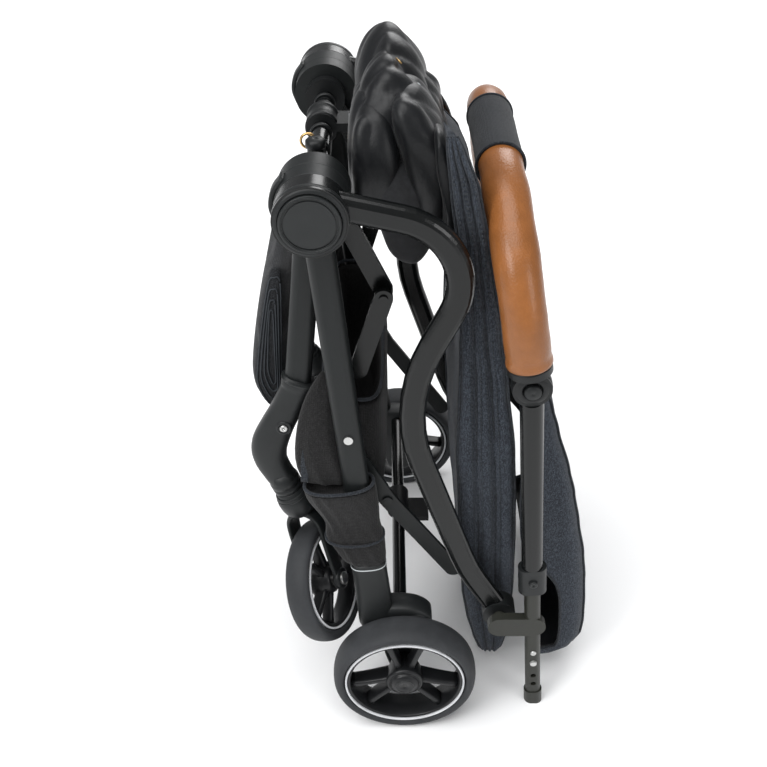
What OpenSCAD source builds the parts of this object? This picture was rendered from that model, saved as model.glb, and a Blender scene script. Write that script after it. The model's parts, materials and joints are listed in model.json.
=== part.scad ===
// Folding baby stroller, shown folded and standing on its rear wheels and handle tails.
// X runs from front (-) to back (+), Y across the width, Z up from the floor.
// The left side is at -Y. Right-hand pieces are mirror images of the left-hand ones.
// The origin is on the floor, at the middle of the overall box.

/* [Hub] */
// Distance of the hub axis in front of the origin
hub_back = 101; // [85:1:110]
// Height of the hub axis above the floor
hub_height = 583.5; // [575:0.5:595]
// Radius of the hub discs
hub_r = 30; // [27:0.5:36]
// Half distance between the two inner hub faces
hub_inside = 100; // [90:1:106]
// Radius of the hub pin
pin_r = 12; // [10:0.5:14]
// Radius of the cross tube between the hubs
cross_r = 8; // [6:0.5:9]

/* [Tubes] */
// Width of the leg tubes, front to back
leg_w = 25; // [20:0.5:28]
// Thickness of the leg tubes, across the stroller
leg_t = 16; // [12:0.5:17]
// Width of the side tubes
side_w = 24; // [20:0.5:28]
// Thickness of the side tubes
side_t = 16; // [12:0.5:17]
// Wall of every hollow tube
tube_wall = 2; // [1.5:0.1:2.4]

/* [Wheels] */
// Radius of a rear wheel over its tyre
rear_wheel_r = 74; // [66:1:80]
// Width of a rear tyre
rear_wheel_w = 34; // [28:1:36]
// Radius of a front wheel over its tyre
front_wheel_r = 63; // [56:1:66]
// Width of a front tyre
front_wheel_w = 25; // [20:1:27]
// Height of the tyre's section above its rim
tyre_h = 13; // [10:0.5:16]
// Radius of the wheel axles
axle_r = 5; // [4:0.5:6]
// Distance of the middle of a rear wheel from the centre plane
rear_track = 191; // [188:1:198]

/* [Casters] */
// Lean of the swivel axis when the stroller is folded
caster_lean = 21; // [16:1:26]
// Trail of the front wheel behind its swivel axis
caster_trail = 25; // [18:1:30]
// Distance of the front wheel's axle below the elbow
caster_drop = 112; // [108:1:118]
// Turn of the left caster about its swivel axis
caster_turn = -106; // [-112:1:-100]

/* [Handle] */
// Distance of the handle tubes from the centre plane
handle_y = 170; // [168:0.5:176]
// Width of the outer handle tubes
outer_w = 21; // [19:0.5:24]
// Thickness of the outer handle tubes
outer_t = 17; // [15:0.5:17.5]
// Height of the tilt joint's axis above the floor
tilt_z = 433; // [425:1:445]
// Radius of the padded grip
grip_r = 19.5; // [16:0.5:20]
// Height of the top of the grip bar's middle line above the tilt joint
grip_rise = 150; // [140:1:165]
// Radius of the grip bar's corners
grip_bend = 110; // [90:1:120]
// Length of the grip's middle sleeve
sleeve_len = 110; // [80:1:120]
// Radius of the tilt buttons
button_r = 7.5; // [6:0.5:9]

/* [Fits] */
// Running clearance between a pin and its bore
run_gap = 0.06; // [0.04:0.01:0.1]
// Clearance between faces that move past each other
face_gap = 0.4; // [0.3:0.1:0.8]
// Sliding clearance of the telescopic tubes
slide_gap = 0.3; // [0.2:0.05:0.5]

/* [Hidden] */
$fn = 64;
eps = 0.01;
end_steps = 12;
oval_sides = 20;
bend_step = 7;

hx = -hub_back;
hz = hub_height;

// Hub discs, from the inside outwards: front leg, rear leg, side tube, cap.
front_ring_w = 20;
rear_ring_w = 19;
arm_ring_w = 24;
front_y0 = hub_inside;
front_y1 = front_y0 + front_ring_w;
rear_y0 = front_y1 + face_gap;
rear_y1 = rear_y0 + rear_ring_w;
arm_y0 = rear_y1 + face_gap;
arm_y1 = arm_y0 + arm_ring_w;
cap_t = 3.2;
cap_r = hub_r - 5.5;
cap_groove_r = cap_r - 3;
cap_groove_w = 1.5;
cap_groove_d = 1;
collar_t = 10;
collar_r = pin_r + 7;
pin_end = 4;
bore_r = pin_r + run_gap;
front_y = (front_y0 + front_y1) / 2;
rear_y = (rear_y0 + rear_y1) / 2;
side_y = (arm_y0 + arm_y1) / 2 - 1.5;

// Clamps on the cross tube.
clamp_y = 32;
clamp_len = 30;
clamp_r = cross_r + 6;
flange = [14, clamp_len, 8];
knob_y = 31 - hub_inside;
knob_len = 18;
knob_r = 7;
knob_h = 10;
catch_size = [7, 22, 5];

// Rear legs, housings and rear wheels. Every place is given from the hub axis.
leg_top = [hx + 2.6, -rear_y - 1, hz - 22];
rear_foot = [hx + 45, -rear_y - 30.6, 168];
rear_axle_x = hx + 78;
rear_axle_z = rear_wheel_r;
axle_boss_r = 20;
rear_bar_x = hx + 73;
rear_bar_z = 136;
rear_bar_r = 7;
bar_seat = 10;
sleeve_w = leg_w + 8;
sleeve_t = leg_t + 7;
sleeve_up = 0.095;
sleeve_down = 0.12;
leg_seat = 60;
house_y0 = rear_y + 18.1;
house_y1 = rear_track - rear_wheel_w / 2 - 1.5;
house_front_r = 18;
house_back_r = 20;
axle_seat = 6;
axle_out = 14;
wheel_hub_r = 19;
screw_r = 4.2;
screw_h = 2;
screw_up = 193;
pedal_half = 16;
pedal_t = 6;
pedal_reach = 30;

// Front legs, elbows and casters.
leg_end = [hx - 22, -front_y - 6.5, 396];
knee = [hx - 53, -front_y - 8, 322];
caster_top = [hx - 37.5, knee[1], 270];
stem_r = 8;
stem_h = 39;
front_leg_t = 14;
front_leg_w = 24;
front_top = [hx - 4.6, -front_y - 0.4, hz - 22];
leg_in_elbow = 30;
elbow_w = front_leg_w + 6;
elbow_t = front_leg_t + 7;
knee_r = 15;
socket_r = 13;
socket_h = 50;
socket_rim_r = 14.5;
socket_rim_h = 11;
elbow_bolt_r = 6;
foot_bar_r = 9;
foot_bar = [hx - 16, 0, 452];
foot_bar_half = front_y0 + 8.4;
bell_r = 17;
bell_h = 26;
fork_t = 5;
fork_in = front_wheel_w / 2 + 2;
fork_w = 20;
fork_blade_w = 26;
bell_gap = 0.6;
crown_z = caster_drop - front_wheel_r - 9;
crown_up = 12;
washer_r = 7;
washer_t = 3;

// Side tube route: lines [length] and bends [radius, angle], starting near the hub.
side_start = [hx + 4, hz + 12, -13];
side_route = [[68], [62, -102], [33], [180, 44], [128], [200, 11], [54]];
side_end = route_end(side_route, 0, side_start);
knuckle_x = side_end[0];
knuckle_z = side_end[1];
knuckle_r = 17;
knuckle_pin_r = 6;

// Handle tubes. They lean back at the bottom, where the tails stand on the floor.
tail_x = hx + 221;
tilt_x = hx + 181.5;
handle_lean = atan2(tail_x - tilt_x, tilt_z);
inner_w = outer_w - 2 * tube_wall - 2 * slide_gap;
inner_t = outer_t - 2 * tube_wall - 2 * slide_gap;
tail_plug_h = 22;
outer_low = knuckle_z + 69.67;
connector_h = 34;
knuckle_plate_t = 9;
snap_r = 3;
snap_z = [34, 48];
tilt_r = 17;
tilt_w = 24;
grip_lean = 10;
grip_core_r = grip_r - 4;
sleeve_proud = 1.2;
button_t = 7;
button_travel = 3;

// Wheels.
tyre_round = 8;
tyre_rib = 3;
rim_t = 4;
rim_inset = 6;
spoke_w = 8;
spoke_inset = 14;
spoke_turn = 17;

// Soft goods: half widths and wall.
sling_wall = 5;
basket_half = rear_y - 3.9;
pad_half = front_y0 - 2;
cover_half = front_y0 - collar_t - 2;
cover_gap_r = 27;
canopy_half = side_y - side_t / 2 - 14.3;
front_half = side_y - side_t / 2 - 3.3;
clip_x = hx + 150;
clip_z = hz - 188.5;
clip_r = 9;
clip_t = 2.4;

// Where a route of lines and bends ends: [x, z, heading].
function route_step(s, p) = len(s) == 1
    ? [p[0] + s[0] * cos(p[2]), p[1] + s[0] * sin(p[2]), p[2]]
    : let (h = p[2] + s[1], k = s[1] > 0 ? s[0] : -s[0])
        [p[0] + k * (sin(h) - sin(p[2])), p[1] - k * (cos(h) - cos(p[2])), h];
function route_end(r, i, p) = i == len(r) ? p : route_end(r, i + 1, route_step(r[i], p));

// A flat oval: a rectangle with round ends, w wide along X and t thick along Y.
module oval(w, t) {
    square([w - t, t], center = true);
    for (s = [-1, 1])
        translate([s * (w - t) / 2, 0])
            circle(d = t);
}

// Turns the children's Z axis along the line from p to q, keeping their X axis level.
module along(p, q) {
    d = q - p;
    translate(p)
        rotate([-asin(d[1] / norm(d)), atan2(d[0], d[2]), 0])
            children();
}

module oval_bar(p, q, w, t) {
    along(p, q)
        linear_extrude(norm(q - p))
            oval(w, t);
}

// A round rod along Y, from y0 to y1.
module y_rod(x, z, r, y0, y1) {
    translate([x, y1, z])
        rotate([90, 0, 0])
            cylinder(h = y1 - y0, r = r);
}

// A profile drawn in X and Z, made into a plate from y0 to y1.
module y_plate(y0, y1) {
    translate([0, y1, 0])
        rotate([90, 0, 0])
            linear_extrude(y1 - y0)
                children();
}

module mirrored() {
    mirror([0, 1, 0])
        children();
}

module both_sides() {
    children();
    mirrored()
        children();
}

// Outline of a flat strap of width w along a list of points, with round ends.
function heading(p, q) = atan2(q[1] - p[1], q[0] - p[0]);
function end_arc(c, a, r) = [for (k = [0:end_steps]) let (b = a - 180 * k / end_steps)
    c + r * [cos(b), sin(b)]];
function strap_knee(c, h1, h2, r, side) = let (m = (h1 + h2) / 2 + 90 * side)
    c + r / cos((h2 - h1) / 2) * [cos(m), sin(m)];
module strap(points, w) {
    n = len(points);
    h = [for (i = [0:n - 2]) heading(points[i], points[i + 1])];
    left = [for (i = [1:1:n - 2]) strap_knee(points[i], h[i - 1], h[i], w / 2, 1)];
    right = [for (i = [n - 2:-1:1]) strap_knee(points[i], h[i - 1], h[i], w / 2, -1)];
    polygon(concat(end_arc(points[n - 1], h[n - 2] + 90, w / 2), right,
        end_arc(points[0], h[0] - 90, w / 2), left));
}

// Points along a route, each with its heading: one at each line's start, several round a bend.
function bend_points(s, p) = let (n = ceil(abs(s[1]) / bend_step))
    [for (k = [0:n - 1]) route_step([s[0], s[1] * k / n], p)];
function route_points(r, i, p) = i == len(r)
    ? [p]
    : concat(len(r[i]) == 1 ? [p] : bend_points(r[i], p), route_points(r, i + 1, route_step(r[i], p)));
function oval_points(w, t) = [for (k = [0:oval_sides - 1])
    let (a = 360 * (k + 0.5) / oval_sides)
        [sign(cos(a)) * (w - t) / 2 + t / 2 * cos(a), t / 2 * sin(a)]];

// A flat oval tube swept along a route in the plane at y.
module route_tube(route, start, y, w, t) {
    stations = route_points(route, 0, start);
    section = oval_points(w, t);
    n = oval_sides;
    last = len(stations) - 1;
    points = [for (s = stations, q = section)
        [s[0] - q[0] * sin(s[2]), y + q[1], s[1] + q[0] * cos(s[2])]];
    sides = [for (i = [0:last - 1], k = [0:n - 1])
        [i * n + k, i * n + (k + 1) % n, (i + 1) * n + (k + 1) % n, (i + 1) * n + k]];
    polyhedron(points, concat(sides, [[for (k = [n - 1:-1:0]) k]], [[for (k = [0:n - 1]) last * n + k]]),
        convexity = 6);
}

// ---- Hubs and cross tube ----

module cross_tube() {
    color("dimgray")
        y_rod(hx, hz, cross_r, -hub_inside + face_gap, hub_inside - face_gap);
}

module hub_pins() {
    color("black")
        both_sides()
            difference() {
                union() {
                    y_rod(hx, hz, pin_r, -arm_y1 + pin_end, -front_y0);
                    y_rod(hx, hz, collar_r, -front_y0 + face_gap, -front_y0 + face_gap + collar_t);
                    y_rod(hx, hz, pin_r, -front_y0 - eps, -front_y0 + face_gap + eps);
                }
                y_rod(hx, hz, cross_r, -hub_inside + face_gap, -front_y0 + face_gap + collar_t + 1);
            }
}

module cross_clamp() {
    color("darkslategray")
        difference() {
            union() {
                y_rod(hx, hz, clamp_r, clamp_y - clamp_len / 2, clamp_y + clamp_len / 2);
                translate([hx + clamp_r - 4, clamp_y - clamp_len / 2, hz - 3])
                    cube(flange);
            }
            y_rod(hx, hz, cross_r, clamp_y - clamp_len, clamp_y + clamp_len);
        }
}

module clamp_knob() {
    color("black")
        difference() {
            union() {
                y_rod(hx, hz, clamp_r - 1, knob_y - knob_len / 2, knob_y + knob_len / 2);
                translate([hx, knob_y, hz + clamp_r - 3])
                    cylinder(h = knob_h, r = knob_r);
            }
            y_rod(hx, hz, cross_r, knob_y - knob_len, knob_y + knob_len);
        }
}

module catch_plate() {
    color("gainsboro")
        translate([hx + clamp_r - 4 + flange[0], clamp_y - catch_size[1] / 2, hz - 1])
            cube(catch_size);
}

// ---- Rear frame ----

module rear_leg() {
    color("darkslategray")
        difference() {
            union() {
                y_rod(hx, hz, hub_r, -rear_y1, -rear_y0);
                oval_bar(leg_top, rear_foot, leg_w, leg_t);
            }
            y_rod(hx, hz, pin_r, -rear_y1 - 1, -rear_y0 + 1);
            along(rear_foot, leg_top)
                translate([0, 0, -1])
                    linear_extrude(norm(leg_top - rear_foot) - hub_r)
                        oval(leg_w - 2 * tube_wall, leg_t - 2 * tube_wall);
        }
}

module left_rear_leg() {
    rear_leg();
}

module right_rear_leg() {
    mirrored()
        rear_leg();
}

module rear_housing() {
    sleeve_top = rear_foot + (leg_top - rear_foot) * sleeve_up;
    sleeve_low = rear_foot - (leg_top - rear_foot) * sleeve_down;
    color("dimgray")
        difference() {
            union() {
                oval_bar(sleeve_low, sleeve_top, sleeve_w, sleeve_t);
                y_plate(-house_y1, -house_y0) {
                    translate([rear_axle_x, rear_axle_z])
                        circle(r = axle_boss_r);
                    translate([hx + 47, rear_bar_z - 8])
                        circle(r = house_front_r);
                    translate([hx + 86, rear_bar_z - 10])
                        circle(r = house_back_r);
                    polygon([[hx + 30, rear_bar_z - 14], [rear_axle_x - 19.4, rear_axle_z - 5],
                        [rear_axle_x + 19.4, rear_axle_z - 5], [hx + 105.5, rear_bar_z - 14],
                        [hx + 90, rear_bar_z + 9.5], [hx + 47, rear_bar_z + 10]]);
                }
            }
            along(rear_foot, leg_top)
                linear_extrude(leg_seat)
                    oval(leg_w, leg_t);
            y_rod(rear_axle_x, rear_axle_z, axle_r, -house_y1 - 1, -house_y0 - axle_seat);
            y_rod(rear_bar_x, rear_bar_z, rear_bar_r, -house_y0 - bar_seat, -house_y0 + 1);
            y_plate(-house_y1 - sleeve_t, -house_y1)
                translate([rear_foot[0] - sleeve_w, rear_axle_z])
                    square([2 * sleeve_w, rear_foot[2] - rear_axle_z]);
        }
}

module left_rear_housing() {
    rear_housing();
}

module right_rear_housing() {
    mirrored()
        rear_housing();
}

module rear_cross_bar() {
    color("black")
        y_rod(rear_bar_x, rear_bar_z, rear_bar_r, -house_y0 - bar_seat, house_y0 + bar_seat);
}

module rear_axles() {
    color("silver")
        both_sides()
            y_rod(rear_axle_x, rear_axle_z, axle_r, -rear_track - axle_out, -house_y0 - axle_seat);
}

module leg_screws() {
    color("silver")
        both_sides()
            along(rear_foot, leg_top)
                translate([0, -leg_t / 2, screw_up])
                    rotate([90, 0, 0])
                        cylinder(h = screw_h, r = screw_r);
}

module basket() {
    color("black")
        difference() {
            y_plate(-basket_half, basket_half)
                polygon([[hx + 4, 250], [hx + 46, 246], [hx + 62, 262], [hx + 56, 382],
                    [hx - 2, 382]]);
            y_plate(-basket_half + sling_wall, basket_half - sling_wall)
                polygon([[hx + 9, 255], [hx + 45, 251.5], [hx + 56.5, 264], [hx + 50, 400],
                    [hx + 3.5, 400]]);
        }
}

module brake_pedal() {
    color("black")
        difference() {
            union() {
                y_rod(rear_bar_x, rear_bar_z, rear_bar_r + 5, -pedal_half, pedal_half);
                translate([rear_bar_x + 5, -pedal_half, rear_bar_z - 15])
                    cube([pedal_reach, 2 * pedal_half, pedal_t]);
                translate([rear_bar_x + 4, -pedal_half, rear_bar_z - 15])
                    cube([pedal_t, 2 * pedal_half, 14]);
            }
            y_rod(rear_bar_x, rear_bar_z, rear_bar_r + run_gap, -pedal_half - 1, pedal_half + 1);
        }
}

// ---- Seat frame ----

link_pivot = [hx + 56, hz - 102.5];
link_end = [hx + 33, hz - 179.5];
link_y0 = front_y0 + 4;
link_t = 5;
link_w = 17;
link_pin_r = 4;

// A bracket on the hub pin's collar side, carrying the seat link.
module seat_bracket() {
    color("black")
        difference() {
            union() {
                y_plate(-front_y0 + face_gap + 4, -front_y0 + face_gap + collar_t)
                    strap([[hx + 14, hz - 14], link_pivot], link_w);
                y_rod(link_pivot[0], link_pivot[1], link_pin_r, -link_y0 - link_t - 2, -front_y0 + 4);
            }
            y_rod(hx, hz, collar_r, -front_y0, -front_y0 + face_gap + collar_t + 1);
        }
}

module left_seat_bracket() {
    seat_bracket();
}

module right_seat_bracket() {
    mirrored()
        seat_bracket();
}

module seat_link() {
    color("black")
        difference() {
            y_plate(-link_y0 - link_t, -link_y0)
                strap([link_pivot, link_end], link_w);
            y_rod(link_pivot[0], link_pivot[1], link_pin_r + run_gap, -link_y0 - 16, -link_y0 + 14);
        }
}

module left_seat_link() {
    seat_link();
}

module right_seat_link() {
    mirrored()
        seat_link();
}

rail_pivot = [hx + 27, hz - 253.5];
rail_knee = [hx + 60, hz - 315.5];
rail_end = [hx + 128, hz - 413.5];
rail_y0 = rear_y + 2.1;
rail_t = 4;
rail_w = 17;

module seat_rail() {
    color("darkslategray")
        difference() {
            union() {
                y_plate(-rail_y0 - rail_t, -rail_y0)
                    strap([rail_pivot, rail_knee, rail_end], rail_w);
                y_rod(rail_knee[0], rail_knee[1], 5, -rail_y0 - rail_t - 2, -rail_y0);
            }
            y_rod(rail_pivot[0], rail_pivot[1], link_pin_r + run_gap, -rail_y0 - 18, -rail_y0 + 12);
        }
}

module left_seat_rail() {
    seat_rail();
}

module right_seat_rail() {
    mirrored()
        seat_rail();
}

// ---- Front frame ----

module front_leg() {
    color("darkslategray")
        difference() {
            union() {
                y_rod(hx, hz, hub_r, -front_y1, -front_y0);
                oval_bar(front_top, leg_end, front_leg_w, front_leg_t);
            }
            y_rod(hx, hz, bore_r, -front_y1 - 1, -front_y0 + 1);
            along(leg_end, front_top)
                translate([0, 0, -1])
                    linear_extrude(norm(front_top - leg_end) - hub_r)
                        oval(front_leg_w - 2 * tube_wall, front_leg_t - 2 * tube_wall);
        }
}

module left_front_leg() {
    front_leg();
}

module right_front_leg() {
    mirrored()
        front_leg();
}

// Places children on a caster's swivel axis: Z up along the axis, from the elbow's lower face.
module at_caster() {
    translate(caster_top)
        rotate([0, -caster_lean, 0])
            children();
}

module elbow() {
    color("dimgray")
        difference() {
            union() {
                oval_bar(leg_end + [0.4, 0, 3], knee, elbow_w, elbow_t);
                y_rod(knee[0], knee[2], knee_r, knee[1] - elbow_t / 2, knee[1] + elbow_t / 2);
                at_caster() {
                    cylinder(h = socket_h, r = socket_r);
                    cylinder(h = socket_rim_h, r = socket_rim_r);
                }
                translate([knee[0] + 17, knee[1] - elbow_t / 2 - 1.5, knee[2] + 32])
                    rotate([-90, 0, 0])
                        cylinder(h = 3, r = elbow_bolt_r);
            }
            along(leg_end, front_top)
                linear_extrude(leg_in_elbow)
                    oval(front_leg_w, front_leg_t);
            at_caster()
                translate([0, 0, -1])
                    cylinder(h = stem_h + 2, r = stem_r + run_gap);
        }
}

module left_elbow() {
    elbow();
}

module right_elbow() {
    mirrored()
        elbow();
}

module footrest_bar() {
    color("black")
        y_rod(foot_bar[0], foot_bar[2], foot_bar_r, -foot_bar_half, foot_bar_half);
}

module leg_rest_pad() {
    color("slategray")
        y_plate(-pad_half, pad_half)
            polygon([[hx - 33, 496], [hx - 38, 350], [hx - 52, 342], [hx - 66, 370], [hx - 66, 400],
                [hx - 54, 460], [hx - 42, 500]]);
}

// A caster's own frame: swivel axis up Z, wheel behind along X, axle along Y.
module in_caster() {
    at_caster()
        rotate([0, 0, caster_turn])
            children();
}

module caster_fork() {
    color("dimgray")
        in_caster()
            difference() {
                union() {
                    translate([0, 0, -bell_gap])
                        cylinder(h = stem_h, r = stem_r);
                    translate([0, 0, -bell_h])
                        cylinder(h = bell_h - bell_gap, r = bell_r);
                    translate([-bell_r, -fork_in - fork_t, -crown_z])
                        cube([2 * bell_r + 4, 2 * (fork_in + fork_t), crown_z - bell_h + crown_up]);
                    for (s = [-1, 1])
                        translate([0, s * (fork_in + fork_t / 2) + fork_t / 2, 0])
                            rotate([90, 0, 0])
                                linear_extrude(fork_t) {
                                    strap([[4, -crown_z], [caster_trail, -caster_drop]], fork_w);
                                    translate([0, -crown_z - 2])
                                        square([fork_blade_w, fork_blade_w - 4], center = true);
                                }
                }
                translate([caster_trail, fork_in + fork_t + 1, -caster_drop])
                    rotate([90, 0, 0])
                        cylinder(h = 2 * fork_in + 2 * fork_t + 2, r = axle_r);
                translate([caster_trail, fork_in, -caster_drop])
                    rotate([90, 0, 0])
                        cylinder(h = 2 * fork_in, r = front_wheel_r + 3);
            }
}

module left_caster_fork() {
    caster_fork();
}

module right_caster_fork() {
    mirrored()
        caster_fork();
}

module caster_axle() {
    reach = fork_in + fork_t;
    color("silver")
        in_caster()
            translate([caster_trail, reach, -caster_drop])
                rotate([90, 0, 0]) {
                    cylinder(h = 2 * reach, r = axle_r);
                    for (z = [-washer_t, 2 * reach])
                        translate([0, 0, z])
                            cylinder(h = washer_t, r = washer_r);
                }
}

module caster_axles_left() {
    caster_axle();
}

module caster_axles_right() {
    mirrored()
        caster_axle();
}

// ---- Wheels, drawn about Z with the outside face up ----

module wheel_tyre(r, w) {
    color("dimgray")
        rotate_extrude($fn = 96)
            difference() {
                intersection() {
                    union() {
                        translate([r - tyre_h, -w / 2])
                            square([tyre_h - tyre_round, w]);
                        translate([r - tyre_round, -w / 2 + tyre_round])
                            square([tyre_round, w - 2 * tyre_round]);
                        for (s = [-1, 1])
                            translate([r - tyre_round, s * (w / 2 - tyre_round)])
                                circle(r = tyre_round);
                    }
                    translate([r - tyre_h, -w / 2])
                        square([tyre_h, w]);
                }
                translate([r - tyre_h, -w / 6])
                    square([tyre_rib, w / 3]);
            }
}

// Rim ring, hub and three pairs of spokes.
module wheel_rim(r, w, hub_w) {
    seat_r = r - tyre_h;
    color("lightgray")
        difference() {
            union() {
                difference() {
                    cylinder(h = w - rim_inset, r = seat_r, center = true);
                    cylinder(h = w, r = seat_r - rim_t, center = true);
                }
                cylinder(h = hub_w, r = wheel_hub_r, center = true);
                for (a = [0:120:240], s = [-1, 1])
                    rotate([0, 0, a + s * spoke_turn])
                        translate([wheel_hub_r - 4, -spoke_w / 2, -(w - spoke_inset) / 2])
                            cube([seat_r - wheel_hub_r + 2, spoke_w, w - spoke_inset]);
            }
            cylinder(h = hub_w + 2, r = axle_r + run_gap, center = true);
        }
}

module at_rear_wheel() {
    translate([rear_axle_x, -rear_track, rear_axle_z])
        rotate([90, 0, 0])
            children();
}

module at_front_wheel() {
    in_caster()
        translate([caster_trail, 0, -caster_drop])
            rotate([90, 0, 0])
                children();
}

module left_rear_tyre() {
    at_rear_wheel()
        wheel_tyre(rear_wheel_r, rear_wheel_w);
}

module left_rear_rim() {
    at_rear_wheel()
        wheel_rim(rear_wheel_r, rear_wheel_w, rear_wheel_w - 4);
}

module right_rear_tyre() {
    mirrored()
        left_rear_tyre();
}

module right_rear_rim() {
    mirrored()
        left_rear_rim();
}

module left_front_tyre() {
    at_front_wheel()
        wheel_tyre(front_wheel_r, front_wheel_w);
}

module left_front_rim() {
    at_front_wheel()
        wheel_rim(front_wheel_r, front_wheel_w, front_wheel_w - 2);
}

module right_front_tyre() {
    mirrored()
        left_front_tyre();
}

module right_front_rim() {
    mirrored()
        left_front_rim();
}

// ---- Push frame ----

module side_tube() {
    color("black")
        difference() {
            union() {
                y_rod(hx, hz, hub_r, -arm_y1, -arm_y0);
                route_tube(side_route, side_start, -side_y, side_w, side_t);
            }
            y_rod(hx, hz, bore_r, -arm_y1 + 2, -arm_y0 + 1);
            y_rod(knuckle_x, knuckle_z, knuckle_r, -side_y - side_t, -side_y + side_t);
        }
}

module left_side_tube() {
    side_tube();
}

module right_side_tube() {
    mirrored()
        side_tube();
}

module hub_caps() {
    color("gray")
        both_sides()
            difference() {
                y_rod(hx, hz, cap_r, -arm_y1 - cap_t, -arm_y1);
                y_plate(-arm_y1 - cap_t - 1, -arm_y1 - cap_t + cap_groove_d)
                    translate([hx, hz])
                        difference() {
                            circle(r = cap_groove_r);
                            circle(r = cap_groove_r - cap_groove_w);
                        }
            }
}

module knuckle() {
    color("dimgray")
        difference() {
            y_rod(knuckle_x, knuckle_z, knuckle_r, -side_y - side_t / 2 - 1, -side_y + side_t / 2 + 1);
            y_rod(knuckle_x, knuckle_z, knuckle_pin_r + run_gap, -side_y - side_t, -side_y + side_t);
        }
}

module left_knuckle() {
    knuckle();
}

module right_knuckle() {
    mirrored()
        knuckle();
}

module seat_back_cover() {
    color("black")
        difference() {
            y_plate(-cover_half, cover_half)
                polygon([[hx + 36, hz - 60], [hx + 35, hz + 6], [hx + 37, hz + 66], [hx + 52, hz + 92],
                    [hx + 64, hz + 96], [hx + 86, hz + 74], [hx + 100, hz + 20], [hx + 92, hz - 40],
                    [hx + 70, hz - 66]]);
            y_rod(hx, hz, cover_gap_r, -cover_half - 1, cover_half + 1);
        }
}

module canopy_rear() {
    color("slategray")
        y_plate(-canopy_half, canopy_half)
            polygon([[hx + 104, hz + 52], [hx + 119, hz + 34], [hx + 128, hz - 40], [hx + 133, hz - 130],
                [hx + 150, hz - 260], [hx + 178, hz - 440], [hx + 172, hz - 556],
                [hx + 160, hz - 556], [hx + 134, hz - 440], [hx + 124, hz - 380],
                [hx + 112, hz - 180], [hx + 107, hz - 20]]);
}

// ---- Canopy front, which swings about its clips ----

module canopy_front() {
    color("slategray")
        difference() {
            union() {
                y_plate(-front_half, front_half)
                    polygon([[hx + 150, hz - 187.5], [hx + 152, hz - 178.5], [hx + 194, hz - 184.5],
                        [hx + 217, hz - 235.5], [hx + 239, hz - 311.5], [hx + 259, hz - 395.5],
                        [hx + 269, hz - 473.5], [hx + 268, hz - 521.5], [hx + 250, hz - 549.5],
                        [hx + 205, hz - 551.5], [hx + 196, hz - 483.5], [hx + 186, hz - 393.5]]);
                both_sides()
                    y_rod(clip_x, clip_z, clip_r, -front_half - clip_t, -front_half + clip_t);
            }
            y_plate(-front_half + sling_wall, front_half - sling_wall)
                polygon([[hx + 188, hz - 243.5], [hx + 208, hz - 243.5], [hx + 232, hz - 321.5],
                    [hx + 253, hz - 403.5], [hx + 262, hz - 475.5], [hx + 261, hz - 517.5],
                    [hx + 244, hz - 563.5], [hx + 207, hz - 563.5], [hx + 202, hz - 473.5],
                    [hx + 192, hz - 383.5]]);
        }
}

// ---- Handle ----

// Places children on a handle tube: Z up along the tube from its foot on the floor.
module on_handle() {
    translate([tail_x, -handle_y, 0])
        rotate([0, -handle_lean, 0])
            children();
}

module inner_tube() {
    color("dimgray")
        difference() {
            union() {
                on_handle()
                    translate([0, 0, -3])
                        linear_extrude(398)
                            oval(inner_w, inner_t);
                on_handle()
                    translate([0, 0, -3])
                        linear_extrude(tail_plug_h)
                            oval(inner_w + 3, inner_t + 2);
                y_plate(-handle_y - inner_t / 2, -handle_y - inner_t / 2 + knuckle_plate_t)
                    strap([[knuckle_x, knuckle_z],
                        [tail_x - knuckle_z * tan(handle_lean), knuckle_z]], 26);
                y_rod(knuckle_x, knuckle_z, knuckle_pin_r, -handle_y, -side_y + side_t / 2 + 1);
            }
            on_handle()
                translate([0, 0, tail_plug_h + 80])
                    linear_extrude(400)
                        oval(inner_w - 2 * tube_wall, inner_t - 2 * tube_wall);
            for (z = snap_z)
                on_handle()
                    translate([0, 40, z])
                        rotate([90, 0, 0])
                            cylinder(h = 80, r = snap_r);
            translate([tail_x - 50, -handle_y - 50, -40])
                cube([100, 100, 40]);
        }
}

module left_inner_tube() {
    inner_tube();
}

module right_inner_tube() {
    mirrored()
        inner_tube();
}

module tail_rivets() {
    color("silver")
        both_sides()
            on_handle()
                translate([0, -inner_t / 2, 70])
                    rotate([90, 0, 0])
                        cylinder(h = 2, r = 3.4);
}

module outer_tube() {
    color("black")
        difference() {
            on_handle()
                translate([0, 0, outer_low + connector_h / 2])
                    linear_extrude(tilt_z - outer_low - connector_h / 2 - tilt_r / 2)
                        oval(outer_w, outer_t);
            on_handle()
                translate([0, 0, outer_low - 1])
                    linear_extrude(225)
                        oval(outer_w - 2 * tube_wall, outer_t - 2 * tube_wall);
            y_rod(tilt_x, tilt_z, tilt_r, -handle_y - outer_t, -handle_y + outer_t);
        }
}

module left_outer_tube() {
    outer_tube();
}

module right_outer_tube() {
    mirrored()
        outer_tube();
}

module connector() {
    color("dimgray")
        on_handle()
            difference() {
                union() {
                    translate([0, 0, outer_low - connector_h / 2])
                        linear_extrude(connector_h)
                            oval(outer_w + 7, outer_t);
                    translate([0, -outer_t / 2, outer_low])
                        rotate([90, 0, 0])
                            cylinder(h = 1.6, r = 4.6);
                }
                translate([0, 0, outer_low - connector_h])
                    linear_extrude(2 * connector_h)
                        oval(inner_w + 2 * slide_gap, inner_t + 2 * slide_gap);
                translate([0, 0, outer_low + connector_h / 2])
                    linear_extrude(connector_h)
                        oval(outer_w, outer_t);
            }
}

module left_connector() {
    connector();
}

module right_connector() {
    mirrored()
        connector();
}

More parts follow.
